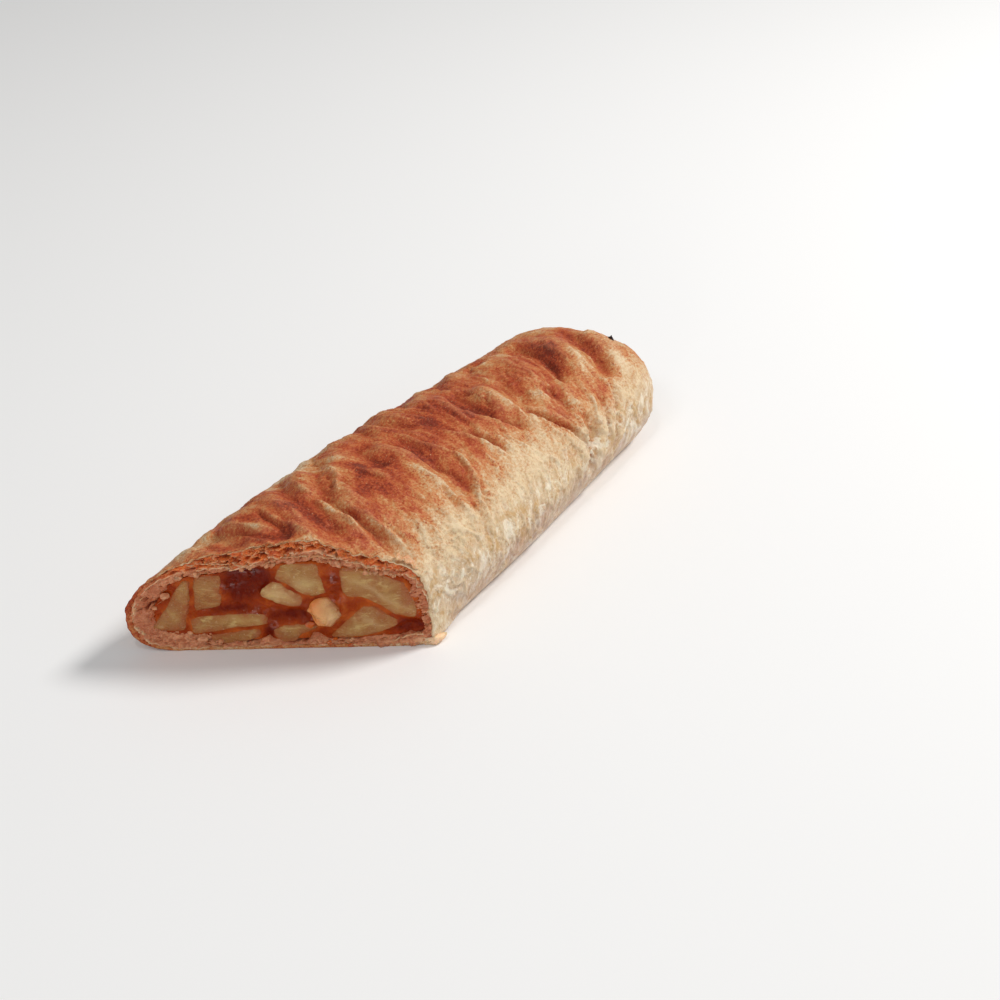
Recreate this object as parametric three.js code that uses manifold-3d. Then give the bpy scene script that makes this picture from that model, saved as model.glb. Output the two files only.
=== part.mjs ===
// Half of a baked apple strudel, cut across on the slant. It lies on its flat base: a wrinkled pastry
// wrapping, closed at the far end, round a cooked filling with diced apple standing in the cut face.
// Millimetres, +Z up, +X along the roll from the cut to the closed end, +Y to its left.
// The origin is under the middle of the roll, on the surface that it lies on.
import * as THREE from "three";
import { ParametricGeometry } from "three/addons/geometries/ParametricGeometry.js";
import { mergeVertices } from "three/addons/utils/BufferGeometryUtils.js";
import Module from "manifold-3d";

const wasm = await Module();
wasm.setup();

// Driving dimensions.
const rollLength = 166; // from the cut, measured at the middle of the roll, to the closed end
const cutAngle = THREE.MathUtils.degToRad(56); // between the cut and the length of the roll
const middleAlong = 71.45; // the middle of the whole roll, from the cut
const middleAcross = -1.2;
const endHeight = 17; // the closed end comes together at this height
const endShift = -9; // and this far to the side
const endStart = 0.84; // share of the length where the end begins to round off
const endRoundness = 3.2;
const endWall = 8; // pastry at the closed end, in front of the filling
const fitGap = 0.35; // between pieces that touch
const pastryColour = 0xc98f5c;
const fillingColour = 0x7a2c14;
const appleColour = 0xb79a5c;

// Three outlines across the roll, as [across, height]: they run from the foot of the right side,
// over the top, round the left side and back along the base.
const cutOutline = outline([
  [-33, 0.6], [-34.8, 4.5], [-34.5, 13], [-33.4, 20], [-30, 26.4], [-20.5, 30.6], [-7, 35.4], [4, 33.8],
  [16.5, 30.4], [27, 24.9], [33, 17.2], [34.2, 11], [32.2, 4], [25, 0.2], [8, -0.2], [-16, -0.2],
]);
const middleOutline = outline([
  [-31.4, 0.4], [-35.2, 6], [-36.4, 14], [-35, 21], [-30.5, 28], [-21, 33.4], [-8, 36], [4.4, 36],
  [15.8, 34], [25, 28], [30.2, 19.6], [31.2, 11.5], [28.4, 3.6], [21, 0.2], [6, -0.2], [-16, -0.2],
]);
const endOutline = outline([
  [-28, 0.4], [-32.4, 5], [-34.6, 13], [-33.6, 21], [-29.2, 28], [-19, 32.4], [-8, 33.2], [2, 32],
  [10.8, 29.6], [18, 25], [22.4, 18], [23.4, 10.5], [20.5, 3.4], [14, 0.2], [2, -0.2], [-14, -0.2],
]);
// The inside of the pastry at the cut, point for point with cutOutline.
const liningOutline = outline([
  [-30.5, 4.2], [-32.7, 7.5], [-32.2, 13], [-30.8, 18.5], [-27.6, 23], [-19.5, 25.6], [-7, 28.8], [3, 27.4],
  [13, 25.2], [22, 23.6], [26.4, 18], [28.4, 12], [27, 6.6], [20, 4.6], [6, 3.2], [-14, 3.2],
]);
const outlineSpans = 16;
const baseSpans = 3; // the last spans of each outline run along the base
const spanSteps = 5;
const baseSteps = 1;
const rowsAlong = 48;
const rowsRound = 9; // more rows round the closed end
const liningRows = 10;

// Creases of the wrapping, as from [round, along] to [round, along], bow, width and depth. Round is
// measured over the pastry from the foot of its right side, and along from the cut. A negative depth
// is a raised fold.
const creases = [
  [70, 29, 49, 6, 0.8, 3.2, 2.3], [57, 11, 46, 4.5, 0, 3.4, 1.5], [60, 21, 32, 1, -0.5, 2.2, 1.4],
  [84, 38, 66, 19, 0, 2.2, 1.1], [92, 24, 69, 0.5, 1, 3, 1.7], [71, 15, 59, 0, 0, 2.2, 1],
  [76, 43, 55, 16, 1.5, 1.7, 1], [92, 62, 73, 40, 0, 3, 1.6], [75, 57, 58, 43, 0, 4, 1.7],
  [70, 63, 33, 36, -2.5, 3, 1.9], [52, 59, 39, 47, -1, 1.8, 0.9], [54, 72, 35, 67.5, 0, 1.6, 1.1],
  [91, 81, 63, 69.5, 2.5, 2.4, 1.3], [86, 72.5, 71, 61, 0, 1.6, 0.8], [92, 48, 80, 34, 0, 2.5, 1.3],
  [34, 38, 20, 30, -0.6, 1.7, 1], [45, 38, 30, 26, -1.5, 2, 0.8], [28, 47, 14, 41, 0, 1.6, 0.6],
  [64, 150, 32, 131, -1.5, 4, 2.5], [80, 135, 41, 115, -3.5, 4.5, 2.7], [46, 110, 32, 102, 0, 3, 1.7],
  [31, 109, 12, 99, 0, 3.4, 2.4], [70, 96, 50, 82.5, 0, 3, 2], [53, 84, 37, 83, 0, 2.6, 1.6],
  [64, 98, 45, 89, 0, 4, -1.3], [46, 91, 18, 101, 1.5, 1.8, 1.4], [62, 106, 44, 97, 0, 3, 1],
  [81, 119, 71, 109, 0, 3, 1.1], [91, 112, 72, 96, 0, 3, 1.1], [91, 96, 74, 82, 0, 3, 1.3],
  [35, 123, 14, 109, 0, 1.7, 1], [33, 130, 12, 117, 0, 1.7, 0.8], [40, 27, 24, 15, 0, 2.2, 0.7],
  [100, 17, 80, 10, 0, 2.4, 1.2], [100, 60, 80, 42, 0, 2.4, 1.6], [98, 84, 82, 66, 0, 2.4, 1.2],
];
const deepest = 2.6; // creases that cross go no deeper than this
const narrowest = 2.3; // width of a crease that the mesh can carry
const shoulderHeight = 0.42; // of the swelling on both sides of a crease, as a share of its depth
const shoulderPlace = 1.9; // and its distance from the crease, in widths
const looseCreases = 30; // more creases on the left side, placed by a seeded draw
const seed = 20;

// Diced apple in the cut face: how far it goes in and stands out, and its outline as
// [across, height].
const apples = [
  { depth: 15, proud: 0.2,
    outline: [[21.6, 23], [20.4, 15], [21.5, 7], [28, 7.4], [27.6, 11], [24.4, 17.6]] },
  { depth: 12, proud: -0.8,
    outline: [[19, 24.6], [13, 24.6], [11.7, 20], [12.6, 15.6], [19.2, 14.4]] },
  { depth: 16, proud: 0.5,
    outline: [[0.4, 26.8], [-3, 28], [-9.4, 27], [-10.8, 19.2], [-6.2, 18], [-0.6, 22.8]] },
  { depth: 13, proud: 0.4,
    outline: [[1.6, 22.2], [-1.8, 20.6], [-5.4, 17.2], [-4.6, 14.4], [0, 15.6], [3.4, 17.6]] },
  { depth: 10, proud: 0.8,
    outline: [[19.2, 9.4], [16.4, 11.4], [4, 12], [2.4, 10.2], [4.6, 7.8], [18.6, 6.4]] },
  { depth: 12, proud: 0.1,
    outline: [[14.8, 5.2], [5.4, 6.9], [4.8, 4], [9.4, 1.8], [14.2, 1.8]] },
  { depth: 14, proud: 0.1,
    outline: [[1, 7.2], [-5, 8.6], [-9.2, 7.4], [-6.6, 4.4], [-3, 1.8], [0.6, 2.2]] },
  { depth: 9, proud: 2,
    outline: [[-7.6, 12.4], [-8.4, 16.2], [-11.4, 17], [-14.6, 12.6], [-13.6, 9.4], [-9.4, 8.4]] },
  { depth: 18, proud: 0.3,
    outline: [[-17.6, 13], [-20.8, 13.6], [-26, 9.2], [-23.6, 5.4], [-12.4, 2.2], [-14, 7.2]] },
  { depth: 20, proud: 0.4,
    outline: [[-15, 25], [-23.8, 24], [-28, 19.4], [-31.4, 11.2], [-26, 11.2], [-15.4, 18]] },
];
const appleTension = 0.32; // low, for flat sides and rounded corners
const applePoints = 17;
const appleEdge = 0.6; // rounding of its edges
const sauceRecess = 1.3; // the sauce lies this far behind the cut

function outline(points) {
  const corners = points.map(([across, height]) => new THREE.Vector3(0, across, height));
  return new THREE.CatmullRomCurve3(corners, true, "catmullrom", 0.5);
}

function easing(x) {
  return THREE.MathUtils.smoothstep(x, 0, 1);
}

// Numbers from 0 to 1 that are the same at each run.
function seededDraw(start) {
  let state = start;
  return () => {
    state = (state * 1664525 + 1013904223) % 4294967296;
    return state / 4294967296;
  };
}

// The slanting cut, as the distance along the roll at a place across it.
function cutAt(across) {
  return -across / Math.tan(cutAngle);
}

const outward = new THREE.Vector3(-Math.sin(cutAngle), -Math.cos(cutAngle), 0); // of the cut face
const backwards = new THREE.Vector3(-1 / Math.sin(cutAngle), 0, 0); // 1 mm out of the cut, along the roll

// A point of the smooth roll: round is the share of the outline, along the share of the length.
function smoothPoint(round, along, lining = 0) {
  const point = cutOutline.getPoint(round);
  point.lerp(middleOutline.getPoint(round), easing((along - 0.045) / 0.08));
  point.lerp(endOutline.getPoint(round), easing((along - 0.3) / 0.6));
  if (lining > 0) {
    point.add(liningOutline.getPoint(round).sub(cutOutline.getPoint(round)).multiplyScalar(lining));
  }
  const rounded = Math.max(0, (along - endStart) / (1 - endStart));
  const closing = Math.sqrt(Math.max(0, 1 - rounded ** endRoundness));
  const centre = endShift * easing((along - 0.5) / 0.5);
  const across = centre + (point.y - centre) * closing;
  const height = Math.max(0, endHeight + (point.z - endHeight) * closing);
  const end = rollLength - endWall * lining;
  return new THREE.Vector3(cutAt(across) + (end - cutAt(across)) * along, across, height);
}

const girthTable = middleOutline.getLengths(400);

// Distance over the pastry from the foot of its right side, in millimetres.
function distanceRound(round) {
  const place = round * 400;
  const step = Math.min(399, Math.floor(place));
  return THREE.MathUtils.lerp(girthTable[step], girthTable[step + 1], place - step);
}

function looseCreaseList() {
  const draw = seededDraw(seed);
  return Array.from({ length: looseCreases }, () => {
    const round = 84 + draw() * 34;
    const along = 24 + draw() * 126;
    const reach = 8 + draw() * 12;
    const slope = 0.5 + draw() * 0.6;
    const width = 1.5 + draw() * 1.6;
    const depth = 0.4 + draw() * 0.8;
    return [round + reach, along + reach * slope, round - reach, along - reach * slope, 0, width, depth];
  });
}

const allCreases = [...creases, ...looseCreaseList()];

// How far the wrapping stands out from the smooth roll.
function wrinkle(round, along) {
  let height = 0;
  for (const [round1, along1, round2, along2, bow, ownWidth, depth] of allCreases) {
    const width = Math.max(narrowest, ownWidth);
    const reach = Math.hypot(round2 - round1, along2 - along1);
    const [dr, da] = [(round2 - round1) / reach, (along2 - along1) / reach];
    const share = ((round - round1) * dr + (along - along1) * da) / reach;
    if (share <= 0 || share >= 1) continue;
    const aside = (along - along1) * dr - (round - round1) * da - bow * 4 * share * (1 - share);
    const taper = easing(share / 0.2) * easing((1 - share) / 0.2);
    const valley = Math.exp(-((aside / width) ** 2));
    const shoulder = Math.exp(-(((Math.abs(aside) - shoulderPlace * width) / width) ** 2));
    height += depth * taper * (shoulderHeight * shoulder - valley);
  }
  return deepest * Math.tanh(height / deepest);
}

// A point of the wrapping with its creases, which fade out towards the base and the end.
function pastryPoint(round, along) {
  const point = smoothPoint(round, along);
  const step = 1e-3;
  const acrossRound = smoothPoint((round + step) % 1, along);
  acrossRound.sub(smoothPoint((round + 1 - step) % 1, along));
  const acrossAlong = smoothPoint(round, Math.min(1, along + step));
  acrossAlong.sub(smoothPoint(round, Math.max(0, along - step)));
  const normal = acrossAlong.cross(acrossRound).normalize();
  const atCut = 1 - easing(along / 0.05);
  normal.addScaledVector(outward, -normal.dot(outward) * atCut).normalize();
  const fade = easing(point.z / 7) * easing((1 - along) / 0.06);
  point.addScaledVector(normal, wrinkle(distanceRound(round), along * rollLength) * fade);
  point.z = Math.max(0, point.z);
  return point;
}

// Layers of the pastry in the cut face: how far each ring, from the rim inwards, lies behind the cut.
// Over the top the outer sheet has lifted off the layers below, with crumbs and gaps between them.
function layerRecess(round, ring) {
  const overTop = easing((round - 0.24) / 0.05) * easing((0.6 - round) / 0.08);
  const gap = Math.exp(-(((ring - 0.34) / 0.17) ** 2));
  const rough = Math.sin(round * 310) * Math.sin(ring * 23 + round * 97);
  const lip = ring < 0.05 ? 0.4 * overTop : 0; // the outer sheet sticks out a little
  return overTop * gap * (2 + 0.9 * rough) + 0.25 * rough * easing(ring / 0.2) - lip;
}

const layerRings = [1.25, 1, 0.84, 0.66, 0.5, 0.34, 0.18, 0.07];

// A point of the cut face: ring 0 is the rim of the pastry, and ring 1 its inner edge.
function facePoint(round, ring) {
  const rim = pastryPoint(round, 0);
  const lining = smoothPoint(round, 0, 1);
  const point = rim.lerp(lining, ring);
  point.x = cutAt(point.y);
  return point.addScaledVector(backwards, -layerRecess(round, ring));
}

// Places round the outline: close together over the pastry that shows, and wider on the base.
function placesRound(fine, coarse) {
  const places = [0];
  for (let span = 0; span < outlineSpans; span++) {
    const steps = span < outlineSpans - baseSpans ? fine : coarse;
    for (let i = 1; i <= steps; i++) places.push((span + i / steps) / outlineSpans);
  }
  return places;
}

// Places along the roll: even ones, then closer ones round the closed end.
function placesAlong(rows, endRows) {
  const even = Array.from({ length: rows }, (_, i) => (endStart * i) / rows);
  const end = Array.from({ length: endRows + 1 }, (_, i) => 1 - (1 - endStart) * (1 - i / endRows) ** 1.8);
  return [...even, ...end];
}

// A closed solid through rows of points. The first and the last row are single points. The places
// are taken backwards, so that the edges across the faces lie along the creases.
function rowsSolid(places, rows) {
  const geometry = new ParametricGeometry(
    (u, v, target) => {
      const row = rows[Math.round(v * (rows.length - 1))];
      target.copy(row(places[Math.round((1 - u) * (places.length - 1))] % 1));
    },
    places.length - 1,
    rows.length - 1,
  );
  return solidFrom(geometry);
}

// The manifold-3d solid of a three.js geometry, without the empty triangles at its poles.
function solidFrom(geometry) {
  const bare = new THREE.BufferGeometry().setIndex(geometry.index);
  bare.setAttribute("position", geometry.getAttribute("position"));
  const merged = mergeVertices(bare, 1e-3);
  const corners = merged.index.array;
  const kept = [];
  for (let i = 0; i < corners.length; i += 3) {
    const [a, b, c] = corners.slice(i, i + 3);
    if (a !== b && b !== c && c !== a) kept.push(a, b, c);
  }
  const solid = fromTriangles(merged.attributes.position.array, kept);
  return solid.volume() > 0 ? solid : fromTriangles(merged.attributes.position.array, kept.reverse());
}

function fromTriangles(vertices, corners) {
  return new wasm.Manifold(
    new wasm.Mesh({ numProp: 3, vertProperties: vertices, triVerts: new Uint32Array(corners) }),
  );
}

function largestPiece(solid) {
  return solid.decompose().reduce((most, piece) => (piece.volume() > most.volume() ? piece : most));
}

function geometryFrom(solid) {
  const { vertProperties, triVerts } = solid.getMesh();
  const geometry = new THREE.BufferGeometry();
  geometry.setAttribute("position", new THREE.BufferAttribute(vertProperties, 3));
  geometry.setIndex(new THREE.BufferAttribute(triVerts, 1));
  geometry.computeVertexNormals();
  return geometry;
}

function wrappedRoll() {
  const centre = new THREE.Vector3(cutAt(0), 0, endHeight).addScaledVector(outward, -3);
  const faceRows = layerRings.map((ring) => (round) => facePoint(round, ring));
  const skinRows = placesAlong(rowsAlong, rowsRound).map((along) => (round) => pastryPoint(round, along));
  return rowsSolid(placesRound(spanSteps, baseSteps), [() => centre, ...faceRows, ...skinRows]);
}

// The space inside the pastry, or the filling itself, which is a gap smaller. Reach is how far its
// front comes out of the cut, or lies behind it.
function insideRoll(shrink, reach) {
  const inset = (round, along) => {
    const point = smoothPoint(round, along, 1);
    const arm = new THREE.Vector3(0, endShift * easing((along - 0.5) / 0.5) - point.y, endHeight - point.z);
    return point.addScaledVector(arm.normalize(), shrink);
  };
  const front = (round) => inset(round, 0).addScaledVector(backwards, reach(round));
  const middle = new THREE.Vector3(cutAt(0), 0, endHeight).addScaledVector(backwards, reach(0.3));
  const tip = new THREE.Vector3(rollLength - endWall - shrink, endShift, endHeight);
  const nearCut = [0, 0.02, 0.045, 0.07, 0.095].slice(reach(0) > 0 ? 0 : 1);
  const rest = placesAlong(liningRows, 4).filter((along) => along > 0.11 && along < 1);
  const rows = [...nearCut, ...rest].map((along) => (round) => inset(round, along));
  return rowsSolid(placesRound(2, 1), [() => middle, front, ...rows, () => tip]);
}

// One piece of apple, or with a gap the socket that it stands in.
function applePiece({ outline: points, depth, proud }, gap) {
  const slant = Math.sin(cutAngle);
  const corners = points.map(([across, height]) => new THREE.Vector3(-across / slant, height, 0));
  const edge = new THREE.CatmullRomCurve3(corners, true, "catmullrom", appleTension);
  const shape = new THREE.Shape(edge.getSpacedPoints(applePoints).slice(0, -1));
  const reachOut = gap > 0 ? 12 : 0; // a socket is open at the cut
  const geometry = new THREE.ExtrudeGeometry(shape, {
    depth: depth + proud + gap + reachOut - 2 * appleEdge,
    bevelThickness: appleEdge,
    bevelSize: appleEdge,
    bevelOffset: gap - appleEdge,
    bevelSegments: 1,
  });
  geometry.translate(0, 0, appleEdge - depth - gap);
  const right = new THREE.Vector3(Math.cos(cutAngle), -Math.sin(cutAngle), 0);
  const up = new THREE.Vector3(0, 0, 1);
  geometry.applyMatrix4(new THREE.Matrix4().makeBasis(right, up, backwards));
  geometry.deleteAttribute("normal");
  geometry.deleteAttribute("uv");
  return solidFrom(mergeVertices(geometry, 1e-3));
}

function namedMesh(name, solid, colour, roughness) {
  const material = new THREE.MeshStandardMaterial({ color: colour, roughness, metalness: 0 });
  const mesh = new THREE.Mesh(geometryFrom(solid), material);
  mesh.name = name;
  return mesh;
}

const sockets = apples.map((apple) => applePiece(apple, fitGap));
const cavity = insideRoll(0, () => 8);
let pastry = wrappedRoll().subtract(cavity);
const sauceFront = (round) => -sauceRecess + 0.5 * Math.sin(round * 44);
let filling = insideRoll(fitGap, sauceFront);
for (const socket of sockets) {
  pastry = pastry.subtract(socket);
  filling = filling.subtract(socket);
}

const strudel = new THREE.Group();
strudel.position.set(-middleAlong, -middleAcross, 0);
strudel.add(namedMesh("pastry", largestPiece(pastry), pastryColour, 0.6));
strudel.add(namedMesh("filling", largestPiece(filling), fillingColour, 0.25));
apples.forEach((apple, i) => {
  strudel.add(namedMesh(`apple_${i + 1}`, applePiece(apple, 0), appleColour, 0.35));
});

export default strudel;
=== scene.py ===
import math

import bmesh
import bpy
import numpy as np
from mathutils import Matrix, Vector


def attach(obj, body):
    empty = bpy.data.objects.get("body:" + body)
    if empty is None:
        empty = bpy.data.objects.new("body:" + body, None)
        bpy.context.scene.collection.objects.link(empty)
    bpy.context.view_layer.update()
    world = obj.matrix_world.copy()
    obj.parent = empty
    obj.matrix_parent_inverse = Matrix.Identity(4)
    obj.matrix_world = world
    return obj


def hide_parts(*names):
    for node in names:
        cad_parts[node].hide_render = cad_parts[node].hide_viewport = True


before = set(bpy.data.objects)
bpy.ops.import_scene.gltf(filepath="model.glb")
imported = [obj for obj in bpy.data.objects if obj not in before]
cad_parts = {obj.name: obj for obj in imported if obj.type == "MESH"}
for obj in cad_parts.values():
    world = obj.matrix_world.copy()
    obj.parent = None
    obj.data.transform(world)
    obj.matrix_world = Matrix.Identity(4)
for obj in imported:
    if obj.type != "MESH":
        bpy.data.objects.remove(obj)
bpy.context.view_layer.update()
print("strudel: frame loaded")

# the roll, in millimetres
# x runs along it from the cut, y to its left and z up, as in the CAD before it is centred

roll = {
    "length": 166.0,
    "cutAngle": math.radians(56),
    "middleAlong": 71.45,
    "middleAcross": -1.2,
    "endHeight": 17.0,
    "endShift": -9.0,
    "endStart": 0.84,
    "endRoundness": 3.2,
    "endWall": 8.0,
}
rollOrigin = np.array([roll["middleAlong"], roll["middleAcross"], 0])
slant = math.sin(roll["cutAngle"])
# outlines of the roll across it: at the cut, in the middle, at the closed end and inside the dough
cutOutline = [
    (-33, 0.6), (-34.8, 4.5), (-34.5, 13), (-33.4, 20), (-30, 26.4), (-20.5, 30.6), (-7, 35.4), (4, 33.8),
    (16.5, 30.4), (27, 24.9), (33, 17.2), (34.2, 11), (32.2, 4), (25, 0.2), (8, -0.2), (-16, -0.2),
]
middleOutline = [
    (-31.4, 0.4), (-35.2, 6), (-36.4, 14), (-35, 21), (-30.5, 28), (-21, 33.4), (-8, 36), (4.4, 36),
    (15.8, 34), (25, 28), (30.2, 19.6), (31.2, 11.5), (28.4, 3.6), (21, 0.2), (6, -0.2), (-16, -0.2),
]
endOutline = [
    (-28, 0.4), (-32.4, 5), (-34.6, 13), (-33.6, 21), (-29.2, 28), (-19, 32.4), (-8, 33.2), (2, 32),
    (10.8, 29.6), (18, 25), (22.4, 18), (23.4, 10.5), (20.5, 3.4), (14, 0.2), (2, -0.2), (-14, -0.2),
]
liningOutline = [
    (-30.5, 4.2), (-32.7, 7.5), (-32.2, 13), (-30.8, 18.5), (-27.6, 23), (-19.5, 25.6), (-7, 28.8), (3, 27.4),
    (13, 25.2), (22, 23.6), (26.4, 18), (28.4, 12), (27, 6.6), (20, 4.6), (6, 3.2), (-14, 3.2),
]


def ease(x):
    x = np.clip(x, 0, 1)
    return x * x * (3 - 2 * x)


def bell(x, width):
    return np.exp(-((x / width) ** 2))


def spanAt(points, t):
    # the share of the way between two corners of a closed outline, and the four corners round it
    p = np.array(points, float)
    i = np.floor(t).astype(int)
    return (t - i)[..., None], *(p[(i + k) % len(p)] for k in (-1, 0, 1, 2))


def loopPoint(points, share):
    # Catmull-Rom curve round a closed outline
    f, a, b, c, d = spanAt(points, (share % 1.0) * len(points))
    return 0.5 * (2 * b + (c - a) * f + (2 * a - 5 * b + 4 * c - d) * f**2 + (3 * b - a - 3 * c + d) * f**3)


def lengthsAlong(path):
    return np.concatenate([[0], np.cumsum(np.linalg.norm(np.diff(path, axis=0), axis=1))])


def pathAt(path, s):
    # the points of a flat path at the distances s along it
    return np.stack([np.interp(s, lengthsAlong(path), path[:, k]) for k in range(2)], -1)


def smoothPath(path, kernel, **padding):
    kernel = kernel / kernel.sum()
    padded = [np.pad(path[:, k], len(kernel) // 2, **padding) for k in range(2)]
    return np.stack([np.convolve(row, kernel, "valid") for row in padded], -1)


def cutAt(across):
    return -across / math.tan(roll["cutAngle"])


def onCut(y, z, depth=0.0):
    # points on the plane of the cut, or as far behind it along the roll as depth says
    return np.stack(np.broadcast_arrays(cutAt(y) + depth, y, z), -1)


def rollPoint(share, along, lining=0.0):
    share, along = np.broadcast_arrays(np.asarray(share, float), np.asarray(along, float))
    w1 = ease((along - 0.045) / 0.08)[..., None]
    w2 = ease((along - 0.3) / 0.6)[..., None]
    flat = loopPoint(cutOutline, share) * (1 - w1) + loopPoint(middleOutline, share) * w1
    flat = flat * (1 - w2) + loopPoint(endOutline, share) * w2
    lining = np.broadcast_to(np.asarray(lining, float), share.shape)
    flat = flat + (loopPoint(liningOutline, share) - loopPoint(cutOutline, share)) * lining[..., None]
    rounded = np.maximum(0, (along - roll["endStart"]) / (1 - roll["endStart"]))
    closing = np.sqrt(np.maximum(0, 1 - rounded ** roll["endRoundness"]))
    centre = roll["endShift"] * ease((along - 0.5) / 0.5)
    y = centre + (flat[..., 0] - centre) * closing
    z = np.maximum(0, roll["endHeight"] + (flat[..., 1] - roll["endHeight"]) * closing)
    end = roll["length"] - roll["endWall"] * lining
    x = cutAt(y) + (end - cutAt(y)) * along
    return np.stack([x, y, z], -1)


girthShares = np.linspace(0, 1, 801)
girthLengths = lengthsAlong(loopPoint(middleOutline, girthShares))


def distanceRound(share):
    return np.interp(share, girthShares, girthLengths)


def shareAt(distance):
    return np.interp(distance, girthLengths, girthShares)


# noise on arrays of points

noiseDraw = np.random.default_rng(7)
noiseOrder = np.tile(noiseDraw.permutation(256), 3)
noiseSlopes = noiseDraw.normal(size=(256, 3))
noiseSlopes /= np.linalg.norm(noiseSlopes, axis=1, keepdims=True)


def cellHash(cell):
    a = noiseOrder[cell[..., 0] & 255]
    b = noiseOrder[(a + cell[..., 1]) & 255]
    return noiseOrder[(b + cell[..., 2]) & 255]


def softNoise(points, size, seed=0):
    # smooth noise of about -1 to 1, whose lumps are size millimetres across
    q = np.asarray(points, float) / size + seed * 13.7
    cell = np.floor(q).astype(np.int64)
    f = q - cell
    w = f * f * f * (f * (f * 6 - 15) + 10)
    total = np.zeros(q.shape[:-1])
    for corner in np.ndindex(2, 2, 2):
        step = np.array(corner)
        slope = noiseSlopes[cellHash(cell + step)]
        weight = np.prod(np.where(step == 1, w, 1 - w), axis=-1)
        total += weight * ((f - step) * slope).sum(-1)
    return total * 1.7


def layeredNoise(points, size, layers, seed=0):
    total = 0
    for i in range(layers):
        total = total + softNoise(points, size / 2**i, seed + i) * 0.5**i
    return total


def poreCells(points, size, seed=0):
    # distances to the nearest and next nearest cell centre, and a random number of the nearest cell
    q = np.asarray(points, float) / size + seed * 9.1
    cell = np.floor(q).astype(np.int64)
    near = np.full(q.shape[:-1], 9.0)
    second = near.copy()
    tag = np.zeros(q.shape[:-1])
    for neighbour in np.ndindex(3, 3, 3):
        c = cell + np.array(neighbour) - 1
        h = cellHash(c)
        d = np.linalg.norm(q - (c + 0.5 + 0.42 * noiseSlopes[h]), axis=-1)
        closer = d < near
        second = np.where(closer, near, np.minimum(second, d))
        tag = np.where(closer, h / 255.0, tag)
        near = np.where(closer, d, near)
    return near, second, tag


def flatPoints(a, b, c=0.0):
    a, b, c = np.broadcast_arrays(a, b, c)
    return np.stack([a, b, c], -1)


# the creases of the wrapping

# from [round, along] to [round, along], bow, width and depth, in mm over the pastry, as in the CAD
mainCreases = [
    (70, 29, 49, 6, 0.8, 3.2, 2.3), (57, 11, 46, 4.5, 0, 3.4, 1.5), (60, 21, 32, 1, -0.5, 2.2, 1.4),
    (84, 38, 66, 19, 0, 2.2, 1.1), (92, 24, 69, 0.5, 1, 3, 1.7), (71, 15, 59, 0, 0, 2.2, 1),
    (76, 43, 55, 16, 1.5, 1.7, 1), (92, 62, 73, 40, 0, 3, 1.6), (75, 57, 58, 43, 0, 4, 1.7),
    (70, 63, 33, 36, -2.5, 3, 1.9), (52, 59, 39, 47, -1, 1.8, 0.9), (54, 72, 35, 67.5, 0, 1.6, 1.1),
    (91, 81, 63, 69.5, 2.5, 2.4, 1.3), (86, 72.5, 71, 61, 0, 1.6, 0.8), (92, 48, 80, 34, 0, 2.5, 1.3),
    (34, 38, 20, 30, -0.6, 1.7, 1), (45, 38, 30, 26, -1.5, 2, 0.8), (28, 47, 14, 41, 0, 1.6, 0.6),
    (64, 150, 32, 131, -1.5, 4, 2.5), (80, 135, 41, 115, -3.5, 4.5, 2.7), (46, 110, 32, 102, 0, 3, 1.7),
    (31, 109, 12, 99, 0, 3.4, 2.4), (70, 96, 50, 82.5, 0, 3, 2), (53, 84, 37, 83, 0, 2.6, 1.6),
    (64, 98, 45, 89, 0, 4, -1.3), (46, 91, 18, 101, 1.5, 1.8, 1.4), (62, 106, 44, 97, 0, 3, 1),
    (81, 119, 71, 109, 0, 3, 1.1), (91, 112, 72, 96, 0, 3, 1.1), (91, 96, 74, 82, 0, 3, 1.3),
    (35, 123, 14, 109, 0, 1.7, 1), (33, 130, 12, 117, 0, 1.7, 0.8), (40, 27, 24, 15, 0, 2.2, 0.7),
    (100, 17, 80, 10, 0, 2.4, 1.2), (100, 60, 80, 42, 0, 2.4, 1.6), (98, 84, 82, 66, 0, 2.4, 1.2),
]
creases = {
    "deepest": 2.8,
    "shoulder": 0.38,  # height of the swelling beside a crease, as a share of its depth
    "shoulderPlace": 1.9,
    "sharp": 0.55,  # a fold line lies in the bottom of each
    "looseOnes": 30,  # on the left side, drawn as in the CAD
    "looseSeed": 20,
    "looseShare": 0.25,
    "fineOnes": 170,
    "fineSeed": 4,
}

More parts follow.
